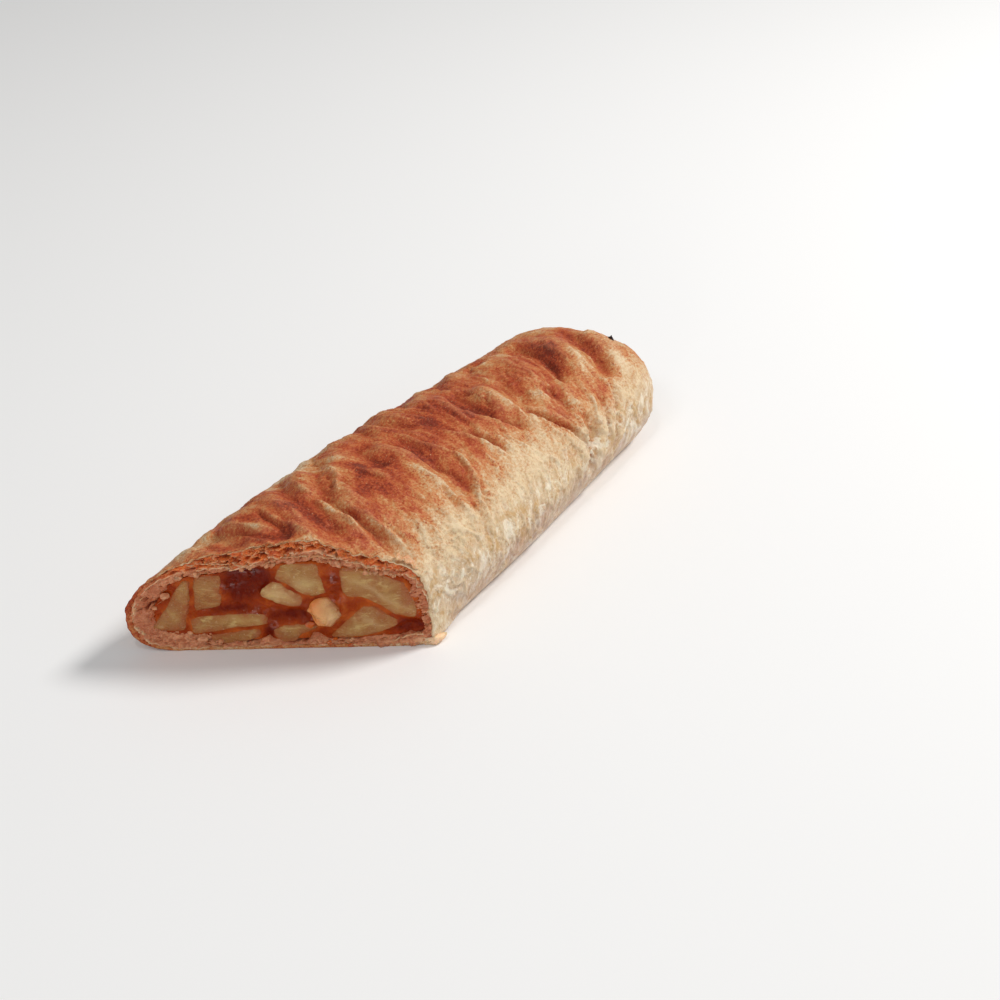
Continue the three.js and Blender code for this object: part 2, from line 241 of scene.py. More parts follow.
# raised folds of the thin skin: their points [round, along], width and height in mm
crests = [
    ([(84, 41), (70.5, 28), (63.5, 23), (58, 18), (50, 12), (45, 8.5), (41, 4.5)], 1.1, 0.95),
    ([(59, 22.5), (54, 18.7), (47.5, 15), (42, 12), (38, 9.2), (33.5, 5.5)], 0.9, 0.7),
    ([(75, 43.5), (69.5, 39), (65.5, 34), (63, 28.5), (61, 24)], 0.8, 0.85),
    ([(67, 35.5), (60.5, 28.5), (56, 24.5), (50, 20)], 0.9, 0.6),
    ([(84, 25), (79, 24), (74, 21)], 0.9, 0.4),
    ([(88, 19), (79.5, 14.5), (75, 12.5), (70, 10), (64, 7)], 1.0, 0.7),
    ([(72.5, 17), (69.5, 13.5), (66.5, 11.5), (59.5, 6), (55.5, 3.5), (51, 0.5)], 1.0, 0.8),
    ([(78, 10.5), (74, 8.5), (69, 3.5)], 0.8, 0.5),
    ([(72.5, 67), (65.5, 64), (58, 59.5), (51.5, 57.5), (46.5, 57), (43, 54), (37, 47), (33.5, 42),
      (29.5, 37), (25, 33)], 1.1, 0.95),
    ([(56, 46.5), (49, 43.5), (43.5, 41), (37.5, 36.5), (33, 33.5), (28.5, 32)], 0.8, 0.6),
    ([(63, 43), (56, 38), (50, 34.5), (44, 31), (38, 27.5)], 1.1, 0.45),
    ([(60, 69.5), (54, 68), (49, 68), (44, 67.2), (40, 66.5), (33.5, 65.5)], 0.8, 0.65),
    ([(84, 79), (77, 76.5), (71.5, 74), (66, 72.5)], 0.9, 0.55),
    ([(86, 73.5), (77.5, 69), (72.5, 66.5)], 0.9, 0.6),
    ([(29, 17), (28.5, 21), (28, 26.5)], 0.45, 0.4),
    ([(31, 46.5), (28, 43), (26, 40), (24.5, 35)], 0.6, 0.45),
    ([(63, 41.5), (57, 40.3), (52, 38)], 0.8, 0.4),
    ([(70, 88.5), (62, 83.6), (56, 81.8), (50, 82), (46, 81), (41.5, 81), (36, 82.5)], 0.95, 0.75),
    ([(64, 98.5), (56, 94.5), (51, 93), (46, 91), (40, 88.5)], 1.2, 0.8),
    ([(46, 90.5), (40.5, 91), (36, 91.3), (31, 94), (25.5, 96), (19, 100.5)], 0.8, 0.9),
    ([(36, 86.5), (31.5, 83), (27, 79)], 0.5, 0.5),
    ([(28, 86), (24, 83.5), (21, 82)], 0.45, 0.45),
    ([(50, 101), (46.5, 102.5), (42, 104), (37.5, 103.5), (33.5, 102), (28, 101.5), (21, 102.5)], 0.8, 0.75),
    ([(35, 118.5), (31.5, 115.5), (28.5, 113), (25.5, 110.5), (20.5, 107.5)], 0.7, 0.8),
    ([(31, 124), (28, 120.5), (26.5, 116.5), (23.5, 112)], 0.65, 0.65),
    ([(36, 131), (31, 127), (27.5, 125), (24, 121)], 0.75, 0.7),
    ([(76, 135), (66, 129.5), (59.5, 125.5), (52, 122.3), (45, 117), (38, 113)], 1.1, 0.85),
    ([(66, 140.5), (60, 136), (55, 133.5), (49, 130), (44, 125.5)], 0.9, 0.65),
    ([(80, 149), (68.5, 147), (61, 146), (54.5, 144.5), (48, 140), (41.5, 135.5), (35.5, 132)], 0.95, 0.85),
    ([(56, 153), (50, 149.5), (44, 145.5), (38, 141.5), (33, 138)], 1.1, 0.65),
    ([(58, 103.5), (55, 105.5), (54, 109), (49, 110.5), (44, 110)], 0.9, 0.55),
    ([(70, 110), (62, 104.5), (55, 100), (49, 95)], 1.0, 0.6),
    ([(80, 99), (74.5, 98), (69.5, 97), (64, 94.5)], 0.9, 0.5),
    ([(84, 113), (78, 115.5), (74, 118), (73, 123)], 0.9, 0.5),
    ([(86, 91), (76, 87), (70, 84.5), (62, 78.5)], 0.9, 0.55),
    ([(70, 124.5), (62, 118.5), (53, 114), (45, 108)], 0.9, 0.5),
    ([(44, 64), (38, 60), (33, 55.5), (28, 52)], 0.7, 0.4),
    ([(50, 76.5), (43, 75), (36, 74.5), (29, 76)], 0.8, 0.4),
    ([(24, 100), (18, 103), (13, 105)], 0.5, 0.45),
    ([(22, 140), (17, 128), (12, 118)], 0.7, 0.4),
    ([(28, 146), (24, 138), (21, 130)], 0.7, 0.4),
    ([(98, 40), (88, 31), (80, 27)], 0.9, 0.5),
    ([(104, 62), (94, 52), (86, 47)], 1.0, 0.55),
    ([(108, 96), (96, 86), (84, 80)], 1.0, 0.55),
    ([(102, 128), (90, 116), (80, 110)], 1.0, 0.55),
    ([(110, 44), (98, 34), (90, 24)], 0.9, 0.45),
    ([(112, 76), (101, 66), (92, 61)], 0.9, 0.45),
    ([(110, 112), (100, 104), (92, 100)], 0.9, 0.45),
]
# sharp grooves of the skin, in the same terms
grooves = [
    ([(63, 23), (56.5, 18.7), (51.5, 15), (46, 11), (41, 6.7), (35.5, 1.5)], 0.8, 0.9),
    ([(70, 24), (64, 18), (59, 13), (54, 9), (49, 7.5)], 1.9, 1.0),
    ([(71.5, 38), (66.5, 32.5), (63.5, 27)], 0.8, 0.75),
    ([(83, 42.5), (81, 45.5), (80.5, 49.5)], 1.0, 0.6),
    ([(86, 28), (79, 30), (73.5, 26), (68.5, 20.5)], 1.1, 0.8),
    ([(82, 13), (77, 10.8), (72, 8), (68, 6), (64, 3.5)], 1.1, 0.75),
    ([(71, 59.5), (61, 56), (54, 52), (48, 49), (42.5, 47), (38.5, 44.5), (34, 38)], 1.1, 1.0),
    ([(51, 64), (48, 62), (44, 58), (39.5, 52)], 0.8, 0.7),
    ([(37, 49), (34, 45), (30.5, 41.5), (27, 38.5)], 0.7, 0.6),
    ([(43, 39.5), (40, 37.7), (36, 34.5)], 0.7, 0.5),
    ([(60, 71.5), (55, 70), (51, 70.5), (46, 70), (41, 68.8), (36, 68)], 0.8, 0.8),
    ([(88, 76), (80, 72.5), (72.5, 69.7), (68, 68.5), (61, 67.5)], 1.0, 0.8),
    ([(65, 40.5), (60, 38.3), (54, 35.5)], 0.9, 0.5),
    ([(72, 95), (66, 90.5), (61, 87), (55.5, 84.5), (51, 84.5), (48, 86)], 0.95, 0.9),
    ([(48, 84), (43.5, 83.4), (38, 85.5)], 0.8, 0.7),
    ([(46, 93), (40.5, 93.2), (35.5, 93.3), (31, 96), (25.5, 98.2)], 0.8, 0.9),
    ([(33, 86.5), (30, 84.3), (25.5, 82)], 0.5, 0.45),
    ([(47, 111), (43, 109), (38.5, 107), (33.5, 104.5)], 0.9, 0.8),
    ([(34, 104.5), (30, 103.8), (26, 103.7), (21.5, 105.5)], 0.8, 0.7),
    ([(31, 112.5), (28, 109.5), (23.5, 105.8)], 0.6, 0.6),
    ([(30, 128.5), (26.5, 126.3), (23, 123)], 0.6, 0.55),
    ([(80, 137), (70, 134.7), (63, 132.5), (57, 129.5), (50.5, 124.8), (45, 119.6), (39.5, 115)], 1.3, 1.1),
    ([(72, 151.5), (65, 150.5), (57.5, 149), (49.5, 143.7), (43, 139.5), (38.5, 137),
      (32.5, 133.5)], 1.1, 1.05),
    ([(44, 131), (41, 129.5), (36.5, 127.8), (32, 127)], 0.9, 0.7),
    ([(84, 117), (79, 119.5), (76.5, 124)], 1.0, 0.5),
    ([(40, 98), (33, 98.5), (27, 99.5)], 0.8, 0.6),
    ([(64, 108), (58, 107.5), (50, 106)], 0.9, 0.5),
]


def turned(a, b, degrees):
    # two coordinates, read on axes turned by an angle
    c, s = math.cos(math.radians(degrees)), math.sin(math.radians(degrees))
    return a * c + b * s, -a * s + b * c


def drape(round_, along):
    # a number that stays the same along the folds; its steps are about millimetres across them
    slanted = 0.85 * round_
    bent = np.interp(round_, [0, 30, 50, 65, 130, 180], [0, 30, 48, 56.5, 76, 90])
    return 0.76 * (along - slanted - (bent - slanted) * ease((along - 18) / 34))


def drapeSlope(round_, along):
    bent = np.interp(round_, [30, 50, 66, 90], [1.0, 0.75, 0.42, 0.3])
    return 0.85 + (bent - 0.85) * float(ease((along - 18) / 34))


def looseCreases():
    state = creases["looseSeed"]
    found = []
    for _ in range(creases["looseOnes"]):
        draws = []
        for _ in range(6):
            state = (state * 1664525 + 1013904223) % 4294967296
            draws.append(state / 4294967296)
        place, along, reach = 84 + draws[0] * 34, 24 + draws[1] * 126, 8 + draws[2] * 12
        slope = 0.5 + draws[3] * 0.6
        found.append((place + reach, along + reach * slope, place - reach, along - reach * slope,
                      0, 1.5 + draws[4] * 1.6, (0.4 + draws[5] * 0.8) * creases["looseShare"]))
    return found


def fineCreases():
    draw = np.random.default_rng(creases["fineSeed"])
    found = []
    for _ in range(creases["fineOnes"]):
        place, along = draw.uniform(28, 122), draw.uniform(2, 158)
        angle = math.atan(drapeSlope(place, along)) + draw.normal(0, 0.16)
        reach = draw.uniform(3, 10)
        du, dw = reach * math.cos(angle), reach * math.sin(angle)
        found.append((place + du, along + dw, place - du, along - dw, draw.normal(0, 0.8),
                      draw.uniform(0.4, 0.85), draw.uniform(0.12, 0.42)))
    return found


def creaseHeight(round_, along, entries):
    height = np.zeros(np.shape(round_))
    for r1, a1, r2, a2, bow, width, depth in entries:
        margin = 4 * width + 2 + abs(bow)
        near = ((round_ > min(r1, r2) - margin) & (round_ < max(r1, r2) + margin)
                & (along > min(a1, a2) - margin) & (along < max(a1, a2) + margin))
        r, a = round_[near], along[near]
        reach = math.hypot(r2 - r1, a2 - a1)
        dr, da = (r2 - r1) / reach, (a2 - a1) / reach
        share = ((r - r1) * dr + (a - a1) * da) / reach
        aside = (a - a1) * dr - (r - r1) * da - bow * 4 * share * (1 - share)
        taper = ease(share / 0.2) * ease((1 - share) / 0.2)
        sharp = creases["sharp"]
        valley = (1 - sharp) * bell(aside, width) + sharp * np.exp(-np.abs(aside) / (0.5 * width))
        shoulder = bell(np.abs(aside) - creases["shoulderPlace"] * width, width)
        height[near] += depth * taper * (creases["shoulder"] * shoulder - valley)
    return height


def lineHeight(round_, along, entries, steep=0.0):
    # narrow ridges along paths, steeper on the side away from the cut; the highest one wins
    height = np.zeros(np.shape(round_))
    for points, width, high in entries:
        corners = np.array(points, float)
        length = lengthsAlong(corners)[-1]
        path = pathAt(corners, np.linspace(0, length, max(25, int(length / 0.9))))
        path = smoothPath(path, np.hanning(9)[1:-1], mode="reflect", reflect_type="odd")
        least, most = path.min(0) - 4 * width, path.max(0) + 4 * width
        near = (round_ > least[0]) & (round_ < most[0]) & (along > least[1]) & (along < most[1])
        r, a = round_[near], along[near]
        best, where, aside = np.full(r.shape, 1e9), np.zeros(r.shape), np.zeros(r.shape)
        for i in range(len(path) - 1):
            v = path[i + 1] - path[i]
            t = np.clip(((r - path[i][0]) * v[0] + (a - path[i][1]) * v[1]) / (v @ v), 0, 1)
            dr, da = r - path[i][0] - t * v[0], a - path[i][1] - t * v[1]
            d = np.hypot(dr, da)
            closer = d < best
            best = np.where(closer, d, best)
            where = np.where(closer, (i + t) / (len(path) - 1), where)
            aside = np.where(closer, da * v[0] - dr * v[1], aside)
        taper = ease(where / 0.25) * ease((1 - where) / 0.25)
        spread = 0.72 * width * np.where(aside < 0, 1 - steep, 1 + steep)
        height[near] = np.maximum(height[near], 1.08 * high * taper * np.exp(-((best / spread) ** 1.35)))
    return height


def hollowness(height, reach):
    # the height less the mean height around it, over a grid of rows whose ends meet
    taps = bell(np.arange(-2 * reach, 2 * reach + 1), reach)
    taps /= taps.sum()
    padded = np.pad(height, ((2 * reach, 2 * reach), (0, 0)), mode="edge")
    mean = sum(tap * padded[i:i + len(height)] for i, tap in enumerate(taps))
    padded = np.concatenate([mean[:, -2 * reach:], mean, mean[:, :2 * reach]], 1)
    return height - sum(tap * padded[:, i:i + height.shape[1]] for i, tap in enumerate(taps))


# meshes from rows of points


def toFrame(points):
    return (np.asarray(points, float) - rollOrigin) / 1000


def addObject(name, data):
    thing = bpy.data.objects.new(name, data)
    bpy.context.scene.collection.objects.link(thing)
    return thing


def smoothObject(name, mesh):
    for polygon in mesh.polygons:
        polygon.use_smooth = True
    return addObject(name, mesh)


def shellFaces(pairs, count):
    # four-sided faces between pairs of rings of count points
    index = np.arange(count)
    after = (index + 1) % count
    faces = []
    for a, b in pairs:
        quads = [a * count + index, a * count + after, b * count + after, b * count + index]
        faces.extend(np.stack(quads, -1).tolist())
    return faces


def newPiece(name, points, faces, values):
    mesh = bpy.data.meshes.new(name)
    mesh.from_pydata(toFrame(points).tolist(), [], faces)
    mesh.update()
    for key, rowsOfValues in values.items():
        flat = np.concatenate([np.asarray(v, float) for v in rowsOfValues])
        setValues(mesh, key, np.pad(flat, (0, len(points) - len(flat)), mode="edge"))
    turnOutward(mesh)
    return smoothObject(name, mesh)


def rowsMesh(name, rows, values=None):
    # a closed shell through equally long rows of points, each row a ring, with a point in each end
    count, total = len(rows[0]), len(rows)
    points = np.concatenate(list(rows) + [[np.mean(rows[0], axis=0), np.mean(rows[-1], axis=0)]])
    faces = shellFaces([(i, i + 1) for i in range(total - 1)], count)
    for centre, base, turn in ((total * count, 0, -1), (total * count + 1, (total - 1) * count, 1)):
        for k in range(count):
            faces.append([centre] + [base + k, base + (k + 1) % count][::turn])
    return newPiece(name, points, faces, values or {})


def ringMesh(name, rows, values):
    # a closed ring: the last row joins the first
    total = len(rows)
    faces = shellFaces([(i, (i + 1) % total) for i in range(total)], len(rows[0]))
    return newPiece(name, np.concatenate(rows), faces, values)


def turnOutward(mesh):
    work = bmesh.new()
    work.from_mesh(mesh)
    if work.calc_volume(signed=True) < 0:
        bmesh.ops.reverse_faces(work, faces=work.faces)
    work.to_mesh(mesh)
    work.free()


def setValues(mesh, key, values):
    old = mesh.attributes.get(key)
    if old:
        mesh.attributes.remove(old)
    attribute = mesh.attributes.new(key, "FLOAT", "POINT")
    attribute.data.foreach_set("value", np.asarray(values, np.float32))


def meshPoints(mesh):
    # the mesh's points in the roll's own millimetres
    flat = np.zeros(len(mesh.vertices) * 3, np.float32)
    mesh.vertices.foreach_get("co", flat)
    return flat.reshape(-1, 3).astype(float) * 1000 + rollOrigin


# materials


def srgb(r, g, b):
    def one(c):
        c /= 255
        return c / 12.92 if c <= 0.04045 else ((c + 0.055) / 1.055) ** 2.4
    return (one(r), one(g), one(b), 1.0)


class Nodes:
    # a little shorthand for making and joining nodes
    def __init__(self, tree):
        self.tree = tree

    def put(self, node, key, value):
        # a socket is joined, a plain value is set
        if isinstance(value, bpy.types.NodeSocket):
            self.tree.links.new(value, node.inputs[key])
        else:
            node.inputs[key].default_value = value

    def add(self, kind, inputs=None, **settings):
        node = self.tree.nodes.new(kind)
        for key, value in settings.items():
            setattr(node, key, value)
        for key, value in (inputs or {}).items():
            self.put(node, key, value)
        return node

    def math(self, operation, a, b=0.0, clamp=False):
        return self.add("ShaderNodeMath", {0: a, 1: b}, operation=operation, use_clamp=clamp).outputs[0]

    def times(self, a, b):
        return self.math("MULTIPLY", a, b)

    def plus(self, a, b, clamp=False):
        return self.math("ADD", a, b, clamp)

    def attribute(self, name):
        return self.add("ShaderNodeAttribute", attribute_name=name).outputs["Fac"]

    def noise(self, vector, scale, detail=3.0, roughness=0.55, distortion=0.0):
        values = {"Vector": vector, "Scale": scale, "Detail": detail, "Roughness": roughness,
                  "Distortion": distortion}
        return self.add("ShaderNodeTexNoise", values).outputs["Fac"]

    def fit(self, value, low, high, toLow=0.0, toHigh=1.0):
        values = {"Value": value, "From Min": low, "From Max": high, "To Min": toLow, "To Max": toHigh}
        return self.add("ShaderNodeMapRange", values, interpolation_type="SMOOTHSTEP").outputs[0]

    def mix(self, share, a, b):
        return self.add("ShaderNodeMix", {0: share, 6: a, 7: b}, data_type="RGBA").outputs[2]

    def layer(self, colour, look, coats):
        # coats of colour over each other, each as a mask and the name of its colour
        for mask, key in coats:
            colour = self.mix(mask, colour, look[key])
        return colour

    def stretch(self, vector, scale):
        return self.add("ShaderNodeMapping", {"Vector": vector, "Scale": scale}).outputs[0]

    def ramp(self, value, stops):
        node = self.add("ShaderNodeValToRGB", {"Fac": value})
        ramp = node.color_ramp
        ramp.elements[0].position, ramp.elements[0].color = stops[0]
        ramp.elements[1].position, ramp.elements[1].color = stops[-1]
        for position, colour in stops[1:-1]:
            ramp.elements.new(position).color = colour
        return node.outputs["Color"]

    def bump(self, height, distance, strength=1.0):
        values = {"Height": height, "Distance": distance, "Strength": strength}
        return self.add("ShaderNodeBump", values).outputs["Normal"]


def newTree(name, kind, inputs, outputs):
    # a node tree with named inputs, as its name, kind and value, and named outputs
    tree = bpy.data.node_groups.new(name, kind)
    for label, socketKind, value in inputs:
        socket = tree.interface.new_socket(label, in_out="INPUT", socket_type="NodeSocket" + socketKind)
        if value is not None:
            socket.default_value = value
    for label, socketKind in outputs:
        tree.interface.new_socket(label, in_out="OUTPUT", socket_type="NodeSocket" + socketKind)
    n = Nodes(tree)
    return tree, n, n.add("NodeGroupInput").outputs, n.add("NodeGroupOutput")


def makeBakedSpeckle():
    # grains of browned dough: a sparse dark speckle, a soft mottle and a fine relief
    group, n, given, end = newTree(
        "bakedSpeckle", "ShaderNodeTree",
        [("Vector", "Vector", None), ("Grain", "Float", 1800.0), ("Mottle", "Float", 260.0),
         ("Cover", "Float", 0.5)],
        [("Speckle", "Float"), ("Mottle", "Float"), ("Relief", "Float")])
    grain = n.noise(given["Vector"], given["Grain"], 2.0, 0.6)
    patches = n.noise(given["Vector"], given["Mottle"], 4.0, 0.6, 0.6)
    edge = n.math("SUBTRACT", 0.72, n.times(given["Cover"], 0.22))
    raised = n.plus(grain, n.times(n.math("SUBTRACT", patches, 0.5), 0.5))
    n.put(end, "Speckle", n.math("MULTIPLY", n.math("SUBTRACT", raised, edge), 9.0, clamp=True))
    n.put(end, "Mottle", patches)
    n.put(end, "Relief", n.plus(n.times(grain, 0.6), n.times(patches, 0.4)))
    return group


bakedSpeckle = makeBakedSpeckle()


def useSpeckle(n, place, grain, mottle, cover):
    values = {"Vector": place, "Grain": grain, "Mottle": mottle, "Cover": cover}
    return n.add("ShaderNodeGroup", values, node_tree=bakedSpeckle).outputs


def newMaterial(name, roughness, subsurface=0.0, radius=(1, 0.5, 0.25), scale=0.001, coat=0.0,
                coatRoughness=0.1, specular=0.5):
    material = bpy.data.materials.new(name)
    material.use_nodes = True
    n = Nodes(material.node_tree)
    shader = material.node_tree.nodes["Principled BSDF"]
    values = {"Roughness": roughness, "Subsurface Weight": subsurface, "Subsurface Radius": radius,
              "Subsurface Scale": scale, "Coat Weight": coat, "Coat Roughness": coatRoughness, "IOR": 1.45,
              "Specular IOR Level": specular}
    for key, value in values.items():
        n.put(shader, key, value)
    return material, n, shader, n.add("ShaderNodeTexCoord").outputs["Object"]


crustLook = {
    "cream": srgb(231, 207, 169),
    "straw": srgb(214, 178, 136),
    "tan": srgb(203, 138, 83),
    "brown": srgb(190, 100, 54),
    "red": srgb(172, 70, 34),
    "dark": srgb(122, 42, 20),
    "speckle": srgb(160, 54, 28),
    "fleck": srgb(230, 190, 140),
    # pale lines on the crests and the rim: partly paler pastry, partly painted highlight
    "paleLine": srgb(236, 212, 176),
    # the colour in the valleys: partly browning, partly painted shade
    "valley": srgb(124, 54, 26),
    "lowWall": srgb(208, 182, 152),
    "dryFilm": srgb(248, 235, 210),
    "wetFilm": srgb(200, 158, 102),
    "foot": srgb(196, 164, 146),
}


def makeCrustMaterial():
    look = crustLook
    material, n, shader, place = newMaterial("bakedCrust", 0.5, 0.08, coatRoughness=0.22, specular=0.3)
    grains = useSpeckle(n, place, 1700.0, 240.0, 0.6)
    toast, ridge, valley, wall = (n.attribute(key) for key in ("toast", "ridge", "valley", "lowWall"))
    broad = n.noise(place, 90.0, 5.0, 0.62, 0.4)
    powder = n.noise(place, 1250.0, 3.0, 0.7)
    level = toast
    for value, gain in ((grains["Mottle"], 0.4), (broad, 0.25), (powder, 1.05)):
        level = n.plus(level, n.times(n.math("SUBTRACT", value, 0.5), gain))
    # browner in the valleys: partly the pastry's own browning, partly painted shade
    level = n.plus(level, n.times(valley, 0.08))
    # paler on the crests: partly paler pastry, partly painted highlight
    level = n.math("SUBTRACT", level, n.times(ridge, 0.14), clamp=True)
    stops = ((0.0, "cream"), (0.22, "straw"), (0.44, "tan"), (0.64, "brown"), (0.82, "red"), (1.0, "dark"))
    colour = n.ramp(level, [(stop, look[key]) for stop, key in stops])
    # the side wall is a thin dried film, streaked and wet in places
    hanging = n.stretch(place, (1.0, 1.0, 0.7))
    film = n.noise(hanging, 175.0, 4.0, 0.62, 1.4)
    footPatches = n.fit(n.noise(place, 150.0, 4.0, 0.6), 0.35, 0.65, 0.25, 0.8)
    colour = n.layer(colour, look, (
        (n.times(grains["Speckle"], n.fit(level, 0.05, 0.5, 0.12, 0.85)), "speckle"),
        (n.times(n.fit(n.noise(place, 2100.0, 2.0), 0.64, 0.72), n.fit(level, 0.3, 0.6, 0.1, 0.5)), "fleck"),
        (n.times(wall, n.times(n.fit(broad, 0.4, 0.6), 0.6)), "lowWall"),
        (n.times(wall, n.fit(film, 0.52, 0.62, 0.0, 0.95)), "dryFilm"),
        (n.times(wall, n.fit(film, 0.48, 0.38, 0.0, 0.8)), "wetFilm"),
        (n.times(wall, n.fit(n.noise(hanging, 640.0, 3.0, 0.65, 0.8), 0.55, 0.66, 0.0, 0.6)), "dryFilm"),
        (n.times(n.attribute("foot"), footPatches), "foot"),
        # darker in the valleys: partly browning, partly painted shade
        (n.times(valley, n.fit(level, 0.15, 0.7, 0.05, 0.2)), "valley"),
        # pale lines on the crests and the lip: partly paler pastry, partly painted highlight
        (n.times(ridge, n.fit(level, 0.1, 0.5, 0.5, 0.08)), "paleLine")))
    n.put(shader, "Base Color", colour)
    gloss = n.times(wall, n.fit(film, 0.4, 0.6, 0.0, 0.22))
    n.put(shader, "Roughness", n.math("SUBTRACT", n.fit(grains["Mottle"], 0.3, 0.7, 0.45, 0.62), gloss))
    n.put(shader, "Coat Weight", n.times(wall, n.fit(film, 0.5, 0.62, 0.0, 0.4)))
    leather = n.noise(place, 480.0, 3.0, 0.55, 0.8)
    height = n.plus(n.plus(grains["Relief"], n.times(powder, 0.5)), n.times(leather, 1.1))
    n.put(shader, "Normal", n.bump(height, 0.00034))
    return material


doughLook = {
    "crumb": srgb(254, 142, 62),
    "crumbWarm": srgb(214, 92, 38),
    # painted shade in the deep pores and gaps
    "poreShade": srgb(136, 40, 10),
    "sheet": srgb(246, 206, 164),
    "dough": srgb(190, 110, 68),
    "doughPale": srgb(226, 156, 113),
    "soaked": srgb(176, 86, 48),
}


def makeDoughMaterial():
    look = doughLook
    material, n, shader, place = newMaterial("cutDough", 0.5, 0.3, (1, 0.42, 0.2), 0.0015, coat=0.12,
                                             coatRoughness=0.3)
    grains = useSpeckle(n, place, 1900.0, 520.0, 0.5)
    colour = n.mix(n.fit(grains["Mottle"], 0.35, 0.65), look["dough"], look["doughPale"])
    webs = n.mix(n.fit(grains["Mottle"], 0.3, 0.7), look["crumb"], look["crumbWarm"])
    colour = n.layer(n.mix(n.attribute("crumb"), colour, webs), look, (
        (n.times(grains["Speckle"], 0.35), "soaked"),
        (n.times(n.attribute("soaked"), 0.75), "soaked"),
        # painted shade: darker the deeper the face lies
        (n.times(n.attribute("hollow"), 0.9), "poreShade"),
        (n.times(n.attribute("sheet"), 0.85), "sheet")))
    n.put(shader, "Base Color", colour)
    n.put(shader, "Normal", n.bump(grains["Relief"], 0.0003, 0.9))
    return material


sauceLook = {
    "dark": srgb(112, 24, 2),
    "red": srgb(160, 58, 10),
    "amber": srgb(200, 98, 34),
    "roughness": 0.16,
}


def makeSauceMaterial():
    look = sauceLook
    material, n, shader, place = newMaterial("fruitSauce", look["roughness"], 0.35, (1, 0.3, 0.1), 0.0016,
                                             coatRoughness=0.05, specular=0.1)
    cloud = n.math("SUBTRACT", n.noise(place, 260.0, 5.0, 0.62, 0.8), 0.5)
    depth = n.plus(n.attribute("pocket"), n.times(cloud, 1.1), clamp=True)
    colour = n.ramp(depth, [(0.0, look["amber"]), (0.45, look["red"]), (1.0, look["dark"])])
    n.put(shader, "Base Color", colour)
    n.put(shader, "Coat IOR", 1.8)
    wet = n.times(n.attribute("wet"), n.fit(n.noise(place, 700.0, 2.0), 0.46, 0.54))
    n.put(shader, "Coat Weight", wet)
    n.put(shader, "Roughness", n.fit(wet, 0.0, 1.0, 0.22, 0.06))
    height = n.plus(n.noise(place, 420.0, 3.0, 0.5, 0.7), n.times(n.noise(place, 1500.0, 2.0), 0.3))
    n.put(shader, "Normal", n.bump(height, 0.001, 0.7))
    return material


appleLook = {
    "flesh": srgb(206, 168, 98),
    "fleshWarm": srgb(178, 122, 62),
    "fibre": srgb(226, 194, 134),
    # fine pale specks on the flesh: painted sparkle
    "fleck": srgb(250, 232, 180),
    # soft light patches on the flesh: painted highlight
    "paintedHighlight": srgb(236, 210, 134),
    "pale": srgb(246, 206, 146),
    "stained": srgb(164, 76, 28),
    "edge": srgb(178, 92, 40),
    "orange": srgb(250, 146, 74),
    "roughness": 0.16,
}


def makeAppleMaterial():
    look = appleLook
    material, n, shader, place = newMaterial("cookedApple", look["roughness"], 0.5, (1, 0.62, 0.3), 0.0025,
                                             coatRoughness=0.12)
    broad = n.noise(place, 160.0, 3.0, 0.55, 0.5)
    stretched = n.stretch(place, (1.0, 0.5, 1.6))
    fibres = n.noise(stretched, 900.0, 4.0, 0.6, 1.2)
    cells = n.noise(place, 2600.0, 2.0, 0.6)
    border = n.attribute("border")
    soaking = n.fit(n.noise(place, 150.0, 3.0, 0.55, 0.6), 0.48, 0.62, 0.0, 0.8)
    paintedSparkles = n.fit(n.noise(place, 1300.0, 3.0, 0.6), 0.63, 0.7)
    colour = n.mix(n.fit(broad, 0.36, 0.6), look["flesh"], look["fleshWarm"])
    colour = n.layer(colour, look, (
        # darker and warmer towards the outline: partly sauce staining, partly painted shade
        (n.times(border, 0.55), "fleshWarm"),
        (n.fit(fibres, 0.52, 0.75, 0.0, 0.5), "fibre"),
        (n.times(n.attribute("core"), 0.6), "fibre"),
        # the paler pieces: partly their own colour, partly painted highlight
        (n.attribute("pale"), "pale"),
        # soft light patches: painted highlight of the wet flesh
        (n.fit(n.noise(stretched, 300.0, 3.0, 0.6, 0.8), 0.53, 0.72, 0.0, 0.7), "paintedHighlight"),
        # fine pale specks: painted sparkle of the wet flesh
        (n.times(paintedSparkles, n.fit(broad, 0.4, 0.6, 0.0, 0.5)), "fleck"),
        (n.times(border, soaking), "edge"),
        (n.times(n.attribute("edge"), n.fit(n.noise(place, 330.0, 3.0), 0.3, 0.62, 0.3, 1.0)), "edge"),
        (n.attribute("tint"), "stained"),
        (n.times(n.attribute("warm"), n.fit(n.noise(place, 260.0, 3.0), 0.3, 0.55, 0.6, 1.0)), "orange")))
    n.put(shader, "Base Color", colour)
    n.put(shader, "Normal", n.bump(n.plus(fibres, n.times(cells, 0.5)), 0.0007, 0.8))
    return material


def makeSimpleDough(name, light, dark, subsurface=0.4):
    material, n, shader, place = newMaterial(name, 0.5, subsurface, (1, 0.5, 0.28), coat=0.1,
                                             coatRoughness=0.3)
    grains = useSpeckle(n, place, 2400.0, 600.0, 0.4)
    n.put(shader, "Base Color", n.mix(n.fit(grains["Mottle"], 0.3, 0.7), light, dark))
    n.put(shader, "Normal", n.bump(grains["Relief"], 0.0002, 0.8))
    return material


crustMaterial = makeCrustMaterial()
doughMaterial = makeDoughMaterial()
sauceMaterial = makeSauceMaterial()
appleMaterial = makeAppleMaterial()
crumbMaterial = makeSimpleDough("orangeCrumb", srgb(236, 138, 74), srgb(190, 88, 42))
paleCrumbMaterial = makeSimpleDough("paleCrumb", srgb(228, 168, 126), srgb(190, 112, 68))
leafMaterial = makeSimpleDough("paleLeaf", srgb(234, 190, 148), srgb(208, 146, 100), 0.4)
burntMaterial = makeSimpleDough("burntFlake", srgb(70, 26, 16), srgb(34, 12, 8), 0.0)
print("strudel: materials made")

# the wrapping

